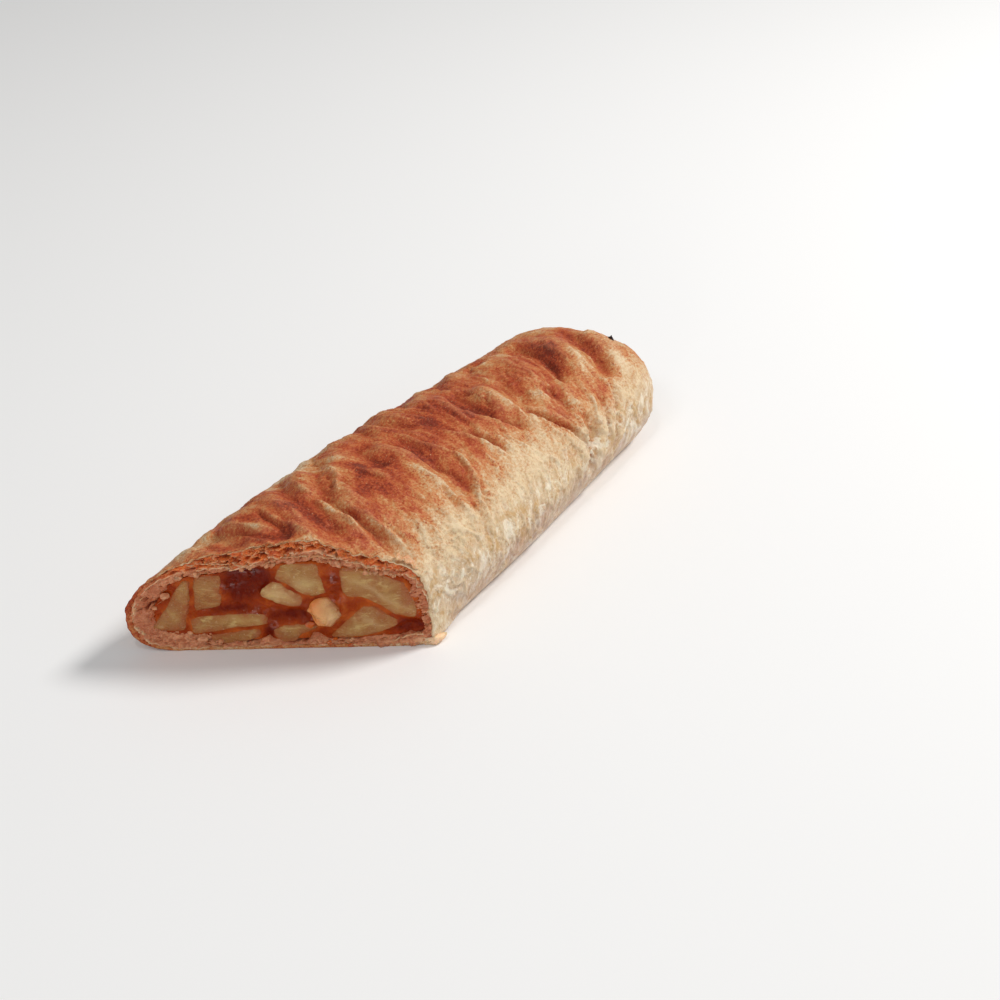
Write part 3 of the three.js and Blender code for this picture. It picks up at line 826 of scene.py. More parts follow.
wrapping = {
    "across": 280,  # points round it over what shows
    "underneath": 20,
    "rows": 278,
    "endRows": 26,
    "skin": 0.9,  # thickness of the outer sheet at the cut
    "rebateDepth": 2.6,  # the layers stand in a rebate behind the outer sheet
    "rebateTaper": 1.2,
    "layersDepth": 5.0,
    "liningRows": 9,
    "liningEnds": (0.06, 0.985),
    "tornRows": 14,  # rows next to the cut that follow its torn edge
    "tornReach": 4.5,
    # the lip of the outer sheet: shares of its thickness, and how far back each lies
    "lip": [(0.3, 0.05), (0.8, 0.15), (1, 0.45)],
    # spacing of the points, at distances round the roll and along it
    "roundPlaces": [0, 12, 18, 90, 98],
    "roundSteps": [0.62, 0.6, 0.38, 0.38, 0.62, 0.66],
    "alongPlaces": [0, 6, 70, 105, roll["length"] * roll["endStart"]],
    "alongSteps": [0.34, 0.42, 0.45, 0.56, 0.62],
}
baseStart = 13 / 16  # the last three spans of each outline run along the base


def evenBy(places, steps, count):
    # count values from 0 on, whose steps are in proportion to the spacing along the way
    fine = np.linspace(places[0], places[-1], 2000)
    amount = np.concatenate([[0], np.cumsum(1 / np.interp(fine[:-1], places, steps))])
    return np.interp(np.linspace(0, amount[-1], count, endpoint=False), amount, fine)


def sharesRound():
    # the points lie closer where most of the folds are
    places, steps = wrapping["roundPlaces"], wrapping["roundSteps"]
    last = float(distanceRound(baseStart))
    top = shareAt(evenBy(places + [last], steps, wrapping["across"]))
    return np.concatenate([top, np.linspace(baseStart, 1, wrapping["underneath"], endpoint=False)])


# browning by distance round the roll: 0 is cream, 1 is a deep red-brown
toastProfile = {
    "round": [0, 8, 20, 28, 34, 40, 45, 50, 55, 60, 65, 70, 75, 80, 85, 95, 108, 122, 178],
    "level": [0.07, 0.05, 0.06, 0.12, 0.28, 0.45, 0.55, 0.62, 0.68, 0.72, 0.7, 0.66, 0.63, 0.6, 0.57,
              0.49, 0.38, 0.28, 0.3],
}
# browner and paler places: round, along, half sizes, turn in degrees and gain
toastPatches = [
    (60, 13, 6, 4, 45, 0.26), (66, 4, 7, 4, 30, 0.24), (48, 8, 7, 4, 40, 0.18),
    (76, 14, 5, 3.5, 40, 0.24), (70, 15, 5, 3.5, 40, -0.16), (40, 46, 6, 4, 50, 0.2),
    (52, 33, 8, 5, 50, 0.16), (50, 45, 5, 4, 40, -0.14), (56, 53, 7, 4.5, 45, 0.2),
    (61, 48, 7, 4, 45, 0.14), (56, 86, 8, 5, 35, 0.32), (70, 86, 6, 5, 40, 0.26),
    (65, 75, 8, 4, 40, 0.16), (54, 96, 9, 3.5, 25, -0.18), (48, 101, 6, 5, 30, -0.06),
    (51, 126, 8, 4, 45, 0.36), (50, 136, 5, 3.5, 40, -0.26), (61, 134, 8, 4, 35, 0.26),
    (48, 145, 9, 4, 45, 0.34), (73, 44, 9, 8, 45, -0.12), (74, 118, 7, 8, 40, -0.24),
    (82, 52, 7, 12, 0, -0.14), (34, 98, 6, 5, 20, 0.32), (27, 104, 6, 4, 20, 0.26),
    (35, 134, 5, 3.5, 45, 0.3), (31, 123, 5, 4, 45, 0.16), (36, 74, 5, 8, 0, -0.12),
    (20, 100, 5, 8, 0, 0.14), (38, 114, 5, 4, 40, 0.18), (18, 118, 5, 10, 0, 0.1), (24, 88, 5, 5, 0, 0.1),
    (68, 61, 6, 5, 45, 0.06), (45, 62, 7, 3, 45, 0.1), (80, 98, 7, 5, 40, 0.1), (62, 97, 9, 4, 25, 0.12),
    (54, 152, 8, 4, 40, -0.3), (44, 156, 6, 5, 0, -0.12), (84, 26, 6, 6, 40, -0.08),
    (79, 33, 5, 4, 45, 0.1), (38, 8, 5, 6, 0, -0.06), (30, 156, 16, 9, 0, 0.13),
    (24, 124, 10, 12, 0, 0.12), (86, 62, 8, 10, 0, -0.08), (88, 14, 6, 8, 0, -0.1),
    (58, 20, 5, 3, 45, -0.28), (64, 84, 5, 3, 40, -0.14), (58, 92, 6, 4, 30, -0.2),
    (76, 12, 5, 3.5, 40, -0.2), (80, 148, 8, 6, 0, -0.3), (70, 157, 7, 4, 0, -0.26),
    (87, 48, 5, 8, 0, -0.22), (87, 8, 6, 8, 0, -0.2), (48, 152, 6, 4, 40, -0.16),
    (44, 36, 7, 4, 45, -0.26), (46, 100, 5, 3, 30, -0.14), (34, 20, 4, 4, 0, -0.12),
    (52, 11, 5, 3, 40, -0.18), (64, 44, 5, 4, 45, 0.3), (70, 20, 4, 3.5, 40, 0.36),
    (58, 28, 5, 3.5, 45, 0.18), (82, 29, 5, 4, 40, 0.14), (88, 32, 4, 5, 0, 0.14),
    (85, 68, 6, 4, 0, 0.18), (58, 84, 4, 3, 40, 0.16), (58, 124, 4, 4, 40, 0.18),
    (70, 92, 4, 4, 40, 0.18), (80, 122, 6, 4, 40, 0.14), (87, 92, 4, 5, 0, 0.22),
    (64, 28, 5, 3.5, 40, -0.16), (58, 52, 5, 3, 45, -0.1), (86, 44, 6, 5, 0, -0.12),
    (46, 12, 5, 3, 45, -0.08), (84, 18, 6, 5, 0, 0.12), (52, 124, 5, 4, 40, -0.16),
    (34, 124, 5, 5, 0, 0.12), (28, 116, 5, 8, 0, 0.1), (82, 60, 6, 4, 40, 0.12), (76, 56, 6, 4, 40, 0.1),
    (34, 36, 3, 4, 45, 0.26), (40, 108, 4, 4, 30, 0.22), (34, 92, 3, 5, 40, 0.14),
    (9, 54, 9, 18, 0, 0.22), (66, 18, 4, 4, 40, 0.1), (78, 30, 6, 5, 40, 0.08), (40, 125, 6, 5, 40, 0.12),
]


def toastAt(round_, along, place):
    wobble = 2.6 * softNoise(place, 18, 3) + 1.6 * softNoise(place, 7, 4)
    level = np.interp(round_ + wobble, toastProfile["round"], toastProfile["level"])
    for r, a, wide, long_, turn, gain in toastPatches:
        p, q = turned(round_ - r, along - a, turn)
        level = level + gain * np.exp(-((p / wide) ** 2 + (q / long_) ** 2))
    return level + 0.34 * streaks(place, round_, along) * ease((round_ - 18) / 22)


def sharpRidges(points, seed):
    # thin raised lines of noise, as in crumpled paper
    lines = np.clip(1 - 2.4 * np.abs(softNoise(points, 1, seed)), 0, 1)
    return lines**1.6


def streaks(place, round_, along):
    # marks of browning drawn out along the creases
    across = drape(round_, along) + 2.2 * softNoise(place, 14, 26)
    broad = softNoise(flatPoints(round_ / 17, across / 3.6), 1, 27)
    thin = softNoise(flatPoints(round_ / 9, across / 1.3), 1, 28)
    return 0.62 * broad + 0.38 * thin


def wrappingRelief(share, along):
    # height of the skin over the smooth roll, with the masks of its ridges and valleys
    place = rollPoint(share, along)
    r, a = np.broadcast_arrays(distanceRound(share), along * roll["length"])
    wander = 0.6 * softNoise(place, 6, 10)
    r2, a2 = r + wander, a + 0.6 * softNoise(place, 6, 9)
    big = creaseHeight(r2, a2, mainCreases + looseCreases())
    big = creases["deepest"] * np.tanh(big / creases["deepest"])
    fine = creaseHeight(r2, a2, fineCreases())
    uneven = 1 + 0.35 * softNoise(place, 5, 8)
    folds = (lineHeight(r2, a2, crests, 0.35) - 0.85 * lineHeight(r2, a2, grooves)) * uneven
    top = ease((r - 30) / 14)
    side = (1 - top) * ease((place[..., 2] - 1) / 6)
    # soft puckers that run with the creases
    warp = 1.8 * softNoise(place, 15, 11)
    across = drape(r, a) + warp
    puckers = sharpRidges(flatPoints(r / 22, across / 5.5), 12)
    ripples = sharpRidges(flatPoints(r / 14, across / 2.3), 13)
    patches = ease(softNoise(place, 12, 21) * 1.4 + 0.5)
    # the cream wall is a thin dried film with standing wrinkles and the edges of loose leaves
    film1 = sharpRidges(flatPoints((r + warp) / 9, (a + 0.5 * r) / 5), 15)
    film2 = sharpRidges(flatPoints((r - warp) / 5, (a - 0.3 * r) / 2.6), 16)
    patchy = ease(softNoise(place, 9, 22) * 1.5 + 0.4)
    warped = flatPoints((r + 1.6 * softNoise(place, 5, 23)) / 10, (a + 1.6 * softNoise(place, 5, 24)) / 7)
    near, second, tag = poreCells(warped, 1.0, 25)
    leaf = bell(second - near, 0.055) * ease((tag - 0.3) / 0.3)
    height = big + fine + folds
    height = height + top * (0.28 * puckers * patches + 0.3 * ripples * ease((176 - a) / 30))
    calm = 1 - 0.5 * ease((along - 0.72) / 0.12)
    height = height + side * calm * (0.75 * film1 * patchy + 0.32 * film2 + 0.5 * leaf)
    height = height * (1 - 0.4 * ease((r - 84) / 10))
    height = height + 0.3 * layeredNoise(place, 17, 2, 17) + 0.05 * layeredNoise(place, 1.3, 2, 18)
    # pleats where the roll is closed
    closing = ease((along - 0.86) / 0.1)
    pleats = np.cos(share * 2 * math.pi * 11 + 2.4 * softNoise(place, 12, 19))
    height = height + closing * 0.4 * pleats * (0.6 + 0.4 * softNoise(place, 9, 20))
    fade = ease(place[..., 2] / 7)
    ending = ease((1 - along) / 0.06)
    height = height * fade * (0.25 + 0.75 * ending)
    relief = 0.9 * hollowness(height, 2) + 0.45 * hollowness(height, 4) + 0.5 * hollowness(height, 9)
    valley = np.clip(-relief / 0.8 - 0.05, 0, 1) * fade
    ridge = np.clip(relief / 0.75 - 0.08, 0, 1) * fade
    return height, ridge, valley


def skinPoints(share, along):
    share, along = np.broadcast_arrays(np.asarray(share, float), np.asarray(along, float))
    place = rollPoint(share, along)
    step = 1e-3
    d1 = rollPoint((share + step) % 1, along) - rollPoint((share - step) % 1, along)
    d2 = rollPoint(share, np.minimum(1, along + step)) - rollPoint(share, np.maximum(0, along - step))
    normal = np.cross(d2, d1)
    normal /= np.maximum(np.linalg.norm(normal, axis=-1, keepdims=True), 1e-9)
    outward = np.array([-slant, -math.cos(roll["cutAngle"]), 0])
    atCut = (1 - ease(along / 0.05))[..., None]
    normal = normal - outward * (normal @ outward)[..., None] * atCut
    normal /= np.maximum(np.linalg.norm(normal, axis=-1, keepdims=True), 1e-9)
    height, ridge, valley = wrappingRelief(share, along)
    points = place + normal * height[..., None]
    points[..., 2] = np.maximum(0, points[..., 2])
    return points, ridge, valley


def lowerLayer(points, share, thickness, depth=0.0):
    # the points moved inwards over the cut face, towards the lining
    arm = loopPoint(liningOutline, share) - points[..., 1:]
    arm /= np.linalg.norm(arm, axis=-1, keepdims=True)
    flat = points[..., 1:] + arm * np.asarray(thickness)[..., None]
    return onCut(flat[..., 0], flat[..., 1], depth)


def overTop(share):
    # 1 where the cut edge runs over the top of the roll
    return ease((share - 0.21) / 0.04) * ease((0.6 - share) / 0.08)


def makeWrapping():
    size = wrapping
    shares = sharesRound()
    even = evenBy(size["alongPlaces"], size["alongSteps"], size["rows"]) / roll["length"]
    end = 1 - (1 - roll["endStart"]) * (1 - np.linspace(0, 1, size["endRows"])) ** 1.8
    alongs = np.concatenate([even, end[:-1], [0.9999]])
    grid, ridge, valley = skinPoints(shares[None, :], alongs[:, None])
    r = np.broadcast_to(distanceRound(shares), grid.shape[:2])
    a = np.broadcast_to(alongs[:, None] * roll["length"], grid.shape[:2])
    smooth = rollPoint(shares[None, :], alongs[:, None])
    toast = toastAt(r, a, smooth)
    toast = toast + 0.5 * ease((r - 88) / 8) * ease((4.5 - a + 1.5 * softNoise(smooth, 3, 32)) / 4)
    # the very edge at the cut is paler over the top: partly paler pastry, partly a painted highlight along
    # the rim
    rimHighlight = ease((2.6 - a + 1.6 * softNoise(smooth, 4, 33)) / 2) * ease((r - 32) / 6) * ease((80 - r) / 10)
    rimHighlightWeight = bell(r - 55, 5) + 0.3
    toast = toast - 0.2 * rimHighlight * rimHighlightWeight
    ridge = ridge + 0.28 * rimHighlightWeight * rimHighlight * ease((1.2 - a + softNoise(smooth, 3, 34)) / 1)
    ridge = np.clip(ridge, 0, 1)
    under = ease((3 - smooth[..., 2]) / 3)
    below = 0.3 + 0.25 * layeredNoise(smooth, 12, 3, 31) + 0.25 * ease((5 - a) / 4)
    toast = toast * (1 - under) + below * under
    wall = ease((30 - r) / 12) * (1 - under)
    foot = ease((19 - r + 3 * softNoise(smooth, 9, 35)) / 9) * ease((a - 2) / 14) * (1 - 0.5 * under)
    # the edge of the outer sheet at the cut is ragged and turned out a little over the top
    ragged = 0.6 * softNoise(grid[0], 3.1, 41) + 0.25 * softNoise(grid[0], 1.1, 42)
    lift = overTop(shares)
    torn = 1.1 * np.abs(softNoise(grid[0], 3.4, 44)) + 0.3 * np.abs(softNoise(grid[0], 1.3, 45)) - 0.35
    for k in range(size["tornRows"]):
        share = (0.35 + 0.65 * lift) * torn * math.exp(-((k / size["tornReach"]) ** 2))
        grid[k, :, 1:] = lowerLayer(grid[k], shares, share)[:, 1:]
    grid[..., 2] = np.maximum(0, grid[..., 2])
    lean = (0.35 + ragged) * (0.3 + 0.7 * lift)
    grid[0, :, 0] -= lean
    grid[1, :, 0] -= 0.4 * lean
    rim = grid[0].copy()
    # the edge turns in to the rebate, and the lining follows
    thin = size["skin"] * (1 - 0.35 * lift) * (1 + 0.35 * softNoise(rim, 3, 43))
    inner = loopPoint(liningOutline, shares)
    rows = [lowerLayer(rim, shares, thin * part, back - lean) for part, back in size["lip"]]
    rows += [lowerLayer(rim, shares, thin + 0.02, size["rebateDepth"] * 0.5),
             lowerLayer(rim, shares, thin + size["rebateTaper"] - 0.1, size["rebateDepth"] + 0.1),
             onCut(inner[:, 0], inner[:, 1], size["layersDepth"] + 0.1)]
    rows += [rollPoint(shares, along, 1.0) for along in np.linspace(*size["liningEnds"], size["liningRows"])]
    zero = np.zeros(len(shares))

    def over(field, lip, inside):
        # values of the skin, of its lip and of what lies inside
        return list(field[::-1]) + [lip] * len(size["lip"]) + [inside] * (len(rows) - len(size["lip"]))

    # the lip over the top is paler and carries the pale line of the crests: a painted highlight along the rim
    piece = rowsMesh("pastrySkin", list(grid[::-1]) + rows, {
        "toast": over(toast, toast[0] * 0.8, zero + 0.4),
        "ridge": over(ridge, 0.7 * lift, zero),
        "valley": over(valley, zero, zero),
        "lowWall": over(wall, zero, zero),
        "foot": over(foot, zero, zero),
    })
    piece.data.materials.append(crustMaterial)
    return piece, rim, thin


# the layers in the cut face

layers = {
    "across": 1150,
    "rings": 56,
    "crowding": 0.95,  # the rings lie a little closer towards the filling
    "skinGap": 0.03,
    "sideDepth": 2.2,
    "poreSize": 2.7,
    "poreDepth": 1.6,
    "finePore": 1.15,
    # distance from the rim to the pale sheet under the crumb, at shares of the outline
    "sheetShares": [0, 0.2, 0.27, 0.31, 0.36, 0.40, 0.44, 0.475, 0.52, 0.56, 0.62, 0.69, 0.76, 0.81, 0.9, 1],
    "sheetDepths": [0.8, 1.2, 3.0, 3.5, 3.6, 4.4, 5.3, 5.8, 3.4, 2.2, 1.7, 1.9, 1.7, 1.0, 0.8, 0.8],
    # where the inner edge swells at the foot: across, half width and by how much
    "swellings": [(-8.5, 1.8, 2.6), (-26, 3, 0.8), (2.8, 1.0, 1.1), (9.8, 4, -1.5), (-2.6, 2.2, -1.4),
                  (-15, 3, -0.5)],
    # the gap between two turns of dough on the left, sunk in and painted dark as shade: across and height
    "gapAcross": [22, 24.2, 26.3, 28.7, 29.8],
    "gapHeight": [22.4, 20, 17.3, 15.7, 14],
}


def domes(points, size, seed):
    # rounded grains of uneven height
    near, _, tag = poreCells(points, size, seed)
    return np.sqrt(np.clip(1 - (near / 0.62) ** 2, 0, 1)) * (0.25 + 0.75 * tag)


def makeLayers(rim, thin, skinShares):
    size = layers
    shares = np.linspace(0, 1, size["across"], endpoint=False)
    corners = np.append(skinShares, 1)
    smoothRim = np.stack([np.interp(shares, corners, np.append(row, row[0])) for row in rim.T], -1)
    skin = np.interp(shares, corners, np.append(thin, thin[0]))
    inner = loopPoint(liningOutline, shares)
    # the inner edge is torn, with soft lumps that hang into the filling
    arm = inner - smoothRim[:, 1:]
    thick = np.linalg.norm(arm, axis=1)
    arm /= thick[:, None]
    flatInner = flatPoints(inner[:, 0], inner[:, 1])
    torn = 0.8 * softNoise(flatInner, 3.2, 51) + 0.6 * softNoise(flatInner, 1.1, 52)
    low = ease((8 - inner[:, 1]) / 3)
    torn = torn + 0.7 * softNoise(flatInner, 4.4, 64) * low
    swell = 2.1 * ease((inner[:, 0] - 15.4) / 0.9) * ease((27 - inner[:, 0]) / 2.5)
    for place, wide, high in size["swellings"]:
        swell = swell + high * bell(inner[:, 0] - place, wide)
    hang = 0.5 * ease((4 - inner[:, 0]) / 3) + 1.5 * bell(inner[:, 0] - 26.5, 2.5)
    hang = (hang + 1.2 * ease((-30 - inner[:, 0]) / 1.5)) * (1 - low)
    start = skin + size["skinGap"]
    thick = np.maximum(thick + np.clip(torn, -1.0, 1.4) + swell * low + hang, start + 0.5)
    t = np.linspace(0, 1, size["rings"]) ** size["crowding"]
    d = start + (thick - start) * t[:, None]
    flat = smoothRim[None, :, 1:] + arm[None] * d[..., None]
    y, z = flat[..., 0], flat[..., 1]
    face = flatPoints(y, z)
    sheetAt = np.interp(shares, size["sheetShares"], size["sheetDepths"]) + 0.35 * softNoise(flatInner, 5, 53)
    sheetAt = sheetAt + 0.3 * softNoise(flatInner, 1.6, 63)
    lift = overTop(shares)
    crumb = ease((sheetAt - d) / 0.5 + 0.5) * (0.35 + 0.65 * lift)
    bent = flatPoints(y + 0.8 * softNoise(face, 1.9, 66), 1.35 * z + 0.8 * softNoise(face, 1.9, 67))
    near, second, tag = poreCells(bent, size["poreSize"], 54)
    nearFine, secondFine, tagFine = poreCells(bent, size["finePore"], 55)
    open_ = ease((second - near - 0.05) / 0.3) * ease((tag - 0.2) / 0.25)
    openFine = ease((secondFine - nearFine - 0.1) / 0.4) * ease((tagFine - 0.35) / 0.3)
    pores = np.clip(open_ + 0.35 * openFine, 0, 1.2)
    lumps = layeredNoise(face, 1.7, 3, 56)
    grainsWide, grainsFine = domes(face, 1.15, 61), domes(face, 0.6, 62)
    webs = crumb * (bell(second - near, 0.07) + 0.6 * bell(secondFine - nearFine, 0.08) * openFine)
    webs = np.clip(webs * ease(softNoise(face, 2.2, 68) * 2 + 0.35), 0, 1)
    recess = crumb * (0.35 + size["poreDepth"] * pores * (0.4 + 0.6 * lift) - 0.3 * lumps
                      - 0.35 * grainsWide - 0.25 * grainsFine - 0.5 * webs)
    innerDough = 1 - crumb
    rough = 1 - 0.4 * ease((y - 20) / 5)  # the folded nose on the left is smoother
    recess = recess + innerDough * (0.4 - 0.5 * lumps - (0.6 * grainsWide + 0.3 * grainsFine) * rough
                                    - 0.25 * (1 - rough) + 1.0 * openFine * (tag > 0.5) * rough)
    sheet = bell(d - sheetAt, 0.2) * ease(softNoise(face, 4, 57) * 1.6 + 0.75)
    sheet2 = bell(d - sheetAt * 0.45 - 0.6, 0.16) * ease(softNoise(face, 4, 58) * 2) * lift
    sheet = np.clip(sheet + 0.7 * sheet2, 0, 1) * ease((thick - d) / 0.6)
    recess = recess * (1 - 0.75 * sheet) - 0.35 * sheet
    gapHeight = np.interp(y, size["gapAcross"], size["gapHeight"]) + 0.4 * softNoise(face, 2, 65)
    gap = bell(z - gapHeight, 0.75) * ease((y - 21.5) / 1.5) * ease((30.4 - y) / 1)
    recess = recess + 1.8 * gap
    # the torn edge rounds off towards the filling
    recess = recess + 0.9 * ease((d - thick + 0.5) / 0.5)
    recess = np.maximum(recess, -0.6)
    grid = onCut(y, z, recess / slant)
    base = wrapping
    side = onCut(y[-1], z[-1], size["sideDepth"])
    backInner = onCut(inner[:, 0], inner[:, 1], base["layersDepth"] - 0.05)
    backOuter = lowerLayer(smoothRim, shares, skin + base["rebateTaper"], base["rebateDepth"])
    outer = lowerLayer(smoothRim, shares, skin + 0.1, base["rebateDepth"] * 0.45)
    ringRows = [outer] + list(grid) + [side, backInner, backOuter]
    # painted shade: darker where the face lies deep, in the pores and the gap; the hidden rows behind get
    # some too
    hollow = np.clip((recess - 0.7) / 1.2, 0, 1)
    soaked = innerDough * ease((d - thick + 1.6) / 1.6) * (0.3 + 0.7 * ease(softNoise(face, 4, 59) + 0.5))
    # soaking on the right side; on the folded nose the soaked colour is partly painted shade
    soaked = soaked + 0.3 * innerDough * ease((-23 - y) / 5) + 0.5 * innerDough * ease((y - 25) / 3)
    soaked = np.clip(soaked, 0, 1)
    zero = np.zeros(len(shares))

    def around(rows, last):
        return [rows[0]] + list(rows) + [last] * 3

    values = {
        "crumb": around(crumb, zero), "sheet": around(np.clip(sheet + 0.6 * webs, 0, 1), zero),
        "hollow": around(hollow, zero + 0.3), "soaked": around(soaked, zero + 1),
        "hanging": around(innerDough * ease((d - thick + 1.5) / 0.9), zero),
    }
    piece = ringMesh("doughLayers", ringRows, values)
    piece.data.materials.append(doughMaterial)
    return piece


pastrySkin, rimPoints, skinThickness = makeWrapping()
doughLayers = makeLayers(rimPoints, skinThickness, sharesRound())
print("strudel: wrapping and layers", len(pastrySkin.data.polygons), len(doughLayers.data.polygons))

# the apple

# how far each piece goes in and stands out, its outline, its staining and the size of a fibrous core
apples = [
    {"depth": 15, "proud": 0.2, "tint": 0.2,
     "outline": [(19.3, 22.4), (20.4, 23.4), (22.0, 21.2), (24.7, 15.2), (26.6, 11.6), (28.3, 8.4),
                 (27.6, 6.9), (21.7, 6.9), (20.8, 8.4), (19.8, 16.8)]},
    {"depth": 12, "proud": -0.3, "tint": 0.4,
     "outline": [(18.1, 24.4), (12.8, 24.5), (12.4, 22), (13, 19), (12.5, 17.5), (13.2, 14.4), (15.2, 13.5),
                 (18.6, 12.9), (19.0, 14.6), (18.9, 18), (18.6, 22.8)]},
    {"depth": 16, "proud": 0.3, "tint": 0.03, "core": (-6, 21.5, 2.6, 2.6, 0),
     "outline": [(0.1, 24), (-1.3, 27.8), (-4.5, 28.5), (-9.2, 27.9), (-9.9, 24), (-11, 18.8), (-10.2, 18.2),
                 (-7.8, 17.2), (-0.4, 22.9)]},
    {"depth": 13, "proud": 0.35, "tint": 0.04, "pale": 0.3, "core": (0, 18.5, 3.5, 1.6, -20),
     "outline": [(3.6, 19.2), (2.1, 21.4), (0.3, 22.6), (-1, 21.9), (-5.4, 17.5), (-5.7, 15.6), (-5.1, 14.3),
                 (-3.6, 14.1), (-0.6, 15.2), (3.2, 17.5)]},
    {"depth": 10, "proud": 0.6, "tint": 0.0,
     "outline": [(19.4, 10.4), (17.6, 11.7), (11.2, 12.1), (3, 12.2), (2.4, 11), (2.6, 8.7), (5.8, 8.1),
                 (11.6, 7.1), (18.2, 5.9), (19.5, 6.7)]},
    {"depth": 12, "proud": 0.1, "tint": 0.06,
     "outline": [(15.6, 4.9), (9.9, 6.1), (5, 6.7), (4.5, 5.6), (5, 4), (8, 2.6), (12, 1.9), (15, 2.3)]},
    {"depth": 14, "proud": 0.1, "tint": 0.14,
     "outline": [(1.5, 6.2), (-1.2, 7.7), (-6.2, 8.0), (-9.4, 7.3), (-7.5, 6.1), (-4.8, 4.6), (-3, 2.1),
                 (-0.8, 2.1), (0.9, 4)]},
    # the bold piece is orange on its left and pale on its right, the pale partly a painted highlight
    {"depth": 9, "proud": 1.8, "tint": 0.0, "warm": 1.0, "pale": 1.0,
     "outline": [(-9, 16.8), (-11.6, 17), (-13.7, 13.7), (-14.4, 11.2), (-12.6, 8.3), (-9.8, 7.8),
                 (-8.2, 9.6), (-7.3, 13.3), (-8.1, 15.7)]},
    {"depth": 18, "proud": 0.3, "tint": 0.24, "core": (-21, 8.5, 4, 1.2, 30),
     "outline": [(-19.4, 14), (-22.2, 13.1), (-26.3, 9.2), (-26.7, 7.3), (-23.5, 5.2), (-18.6, 3.7),
                 (-14.4, 3.2), (-12, 3.3), (-11.6, 4.2), (-14.7, 8.2)]},
    {"depth": 20, "proud": 0.3, "tint": 0.2, "core": (-23, 18, 9, 0.8, 40),
     "outline": [(-14.2, 25.4), (-15.4, 26.7), (-20.2, 25.7), (-25.6, 23.3), (-28.7, 20.8), (-30.9, 15),
                 (-31.2, 10.8), (-30.6, 9.9), (-26.5, 10.9), (-23, 13.9), (-19, 17), (-16.2, 16.9),
                 (-14.7, 19.1)]},
]
appleCut = {
    "tension": 0.22,
    "around": 160,
    "rings": 26,
    "sideRows": 10,
    "edge": 0.4,  # radius of the rounded edge of the cut surface
    "outset": 0.12,  # how far a piece reaches past its outline into the sauce
    "wave": 0.14,
    # size and depth of the flat planes, height of the bulge and share of how far it stands out
    "surface": (4.6, 0.5, 0.3, 1),
    "boldSurface": (3.4, 1.3, 1.7, 0.35),
}


def appleOutline(points, count):
    # a closed curve with low tension: flat sides and rounded corners, at even distances
    f, a, b, c, d = spanAt(points, np.linspace(0, len(points), count * 8, endpoint=False))
    m1, m2 = appleCut["tension"] * (c - a), appleCut["tension"] * (d - b)
    curve = ((2 * f**3 - 3 * f**2 + 1) * b + (f**3 - 2 * f**2 + f) * m1
             + (3 * f**2 - 2 * f**3) * c + (f**3 - f**2) * m2)
    closed = np.concatenate([curve, curve[:1]])
    return pathAt(closed, np.linspace(0, lengthsAlong(closed)[-1], count, endpoint=False))


def outlineDistance(y, z, outline):
    # distance to a closed outline, below zero inside it
    y, z = np.broadcast_arrays(y, z)
    best = np.full(y.shape, 1e9)
    inside = np.zeros(y.shape, bool)
    for p, q in zip(outline, np.roll(outline, -1, axis=0)):
        v = q - p
        t = np.clip(((y - p[0]) * v[0] + (z - p[1]) * v[1]) / (v @ v), 0, 1)
        best = np.minimum(best, np.hypot(y - p[0] - t * v[0], z - p[1] - t * v[1]))
        if p[1] != q[1]:
            crosses = ((p[1] > z) != (q[1] > z)) & (y < (q[0] - p[0]) * (z - p[1]) / (q[1] - p[1]) + p[0])
            inside = inside ^ crosses
    return np.where(inside, -best, best)


def appleFront(y, z, inner, apple, number):
    # depth of the cut surface of a piece; inner is the distance in from its outline
    bold = apple["proud"] > 1  # the one that stands well out of the cut
    planeSize, planeDepth, bulge, proud = appleCut["boldSurface" if bold else "surface"]
    face = flatPoints(y, z)
    fine = 0.3 * softNoise(face, 4.2, 70 + number) + 0.09 * softNoise(face, 1.1, 75 + number)
    # flat planes left by the knife and the cooking
    near, second, tag = poreCells(face, planeSize, 150 + number)
    fine = fine + planeDepth * (tag - 0.5) * ease((second - near) / 0.35)
    if bold:
        slantwise = (y + 10.6) * 0.86 - (z - 12.8) * 0.5
        fine = fine + 1.1 * np.clip(1 - np.abs(slantwise) / 3, 0, 1)
    return 0.25 - apple["proud"] * proud - bulge * (1 - np.exp(-inner / 2.5)) - fine


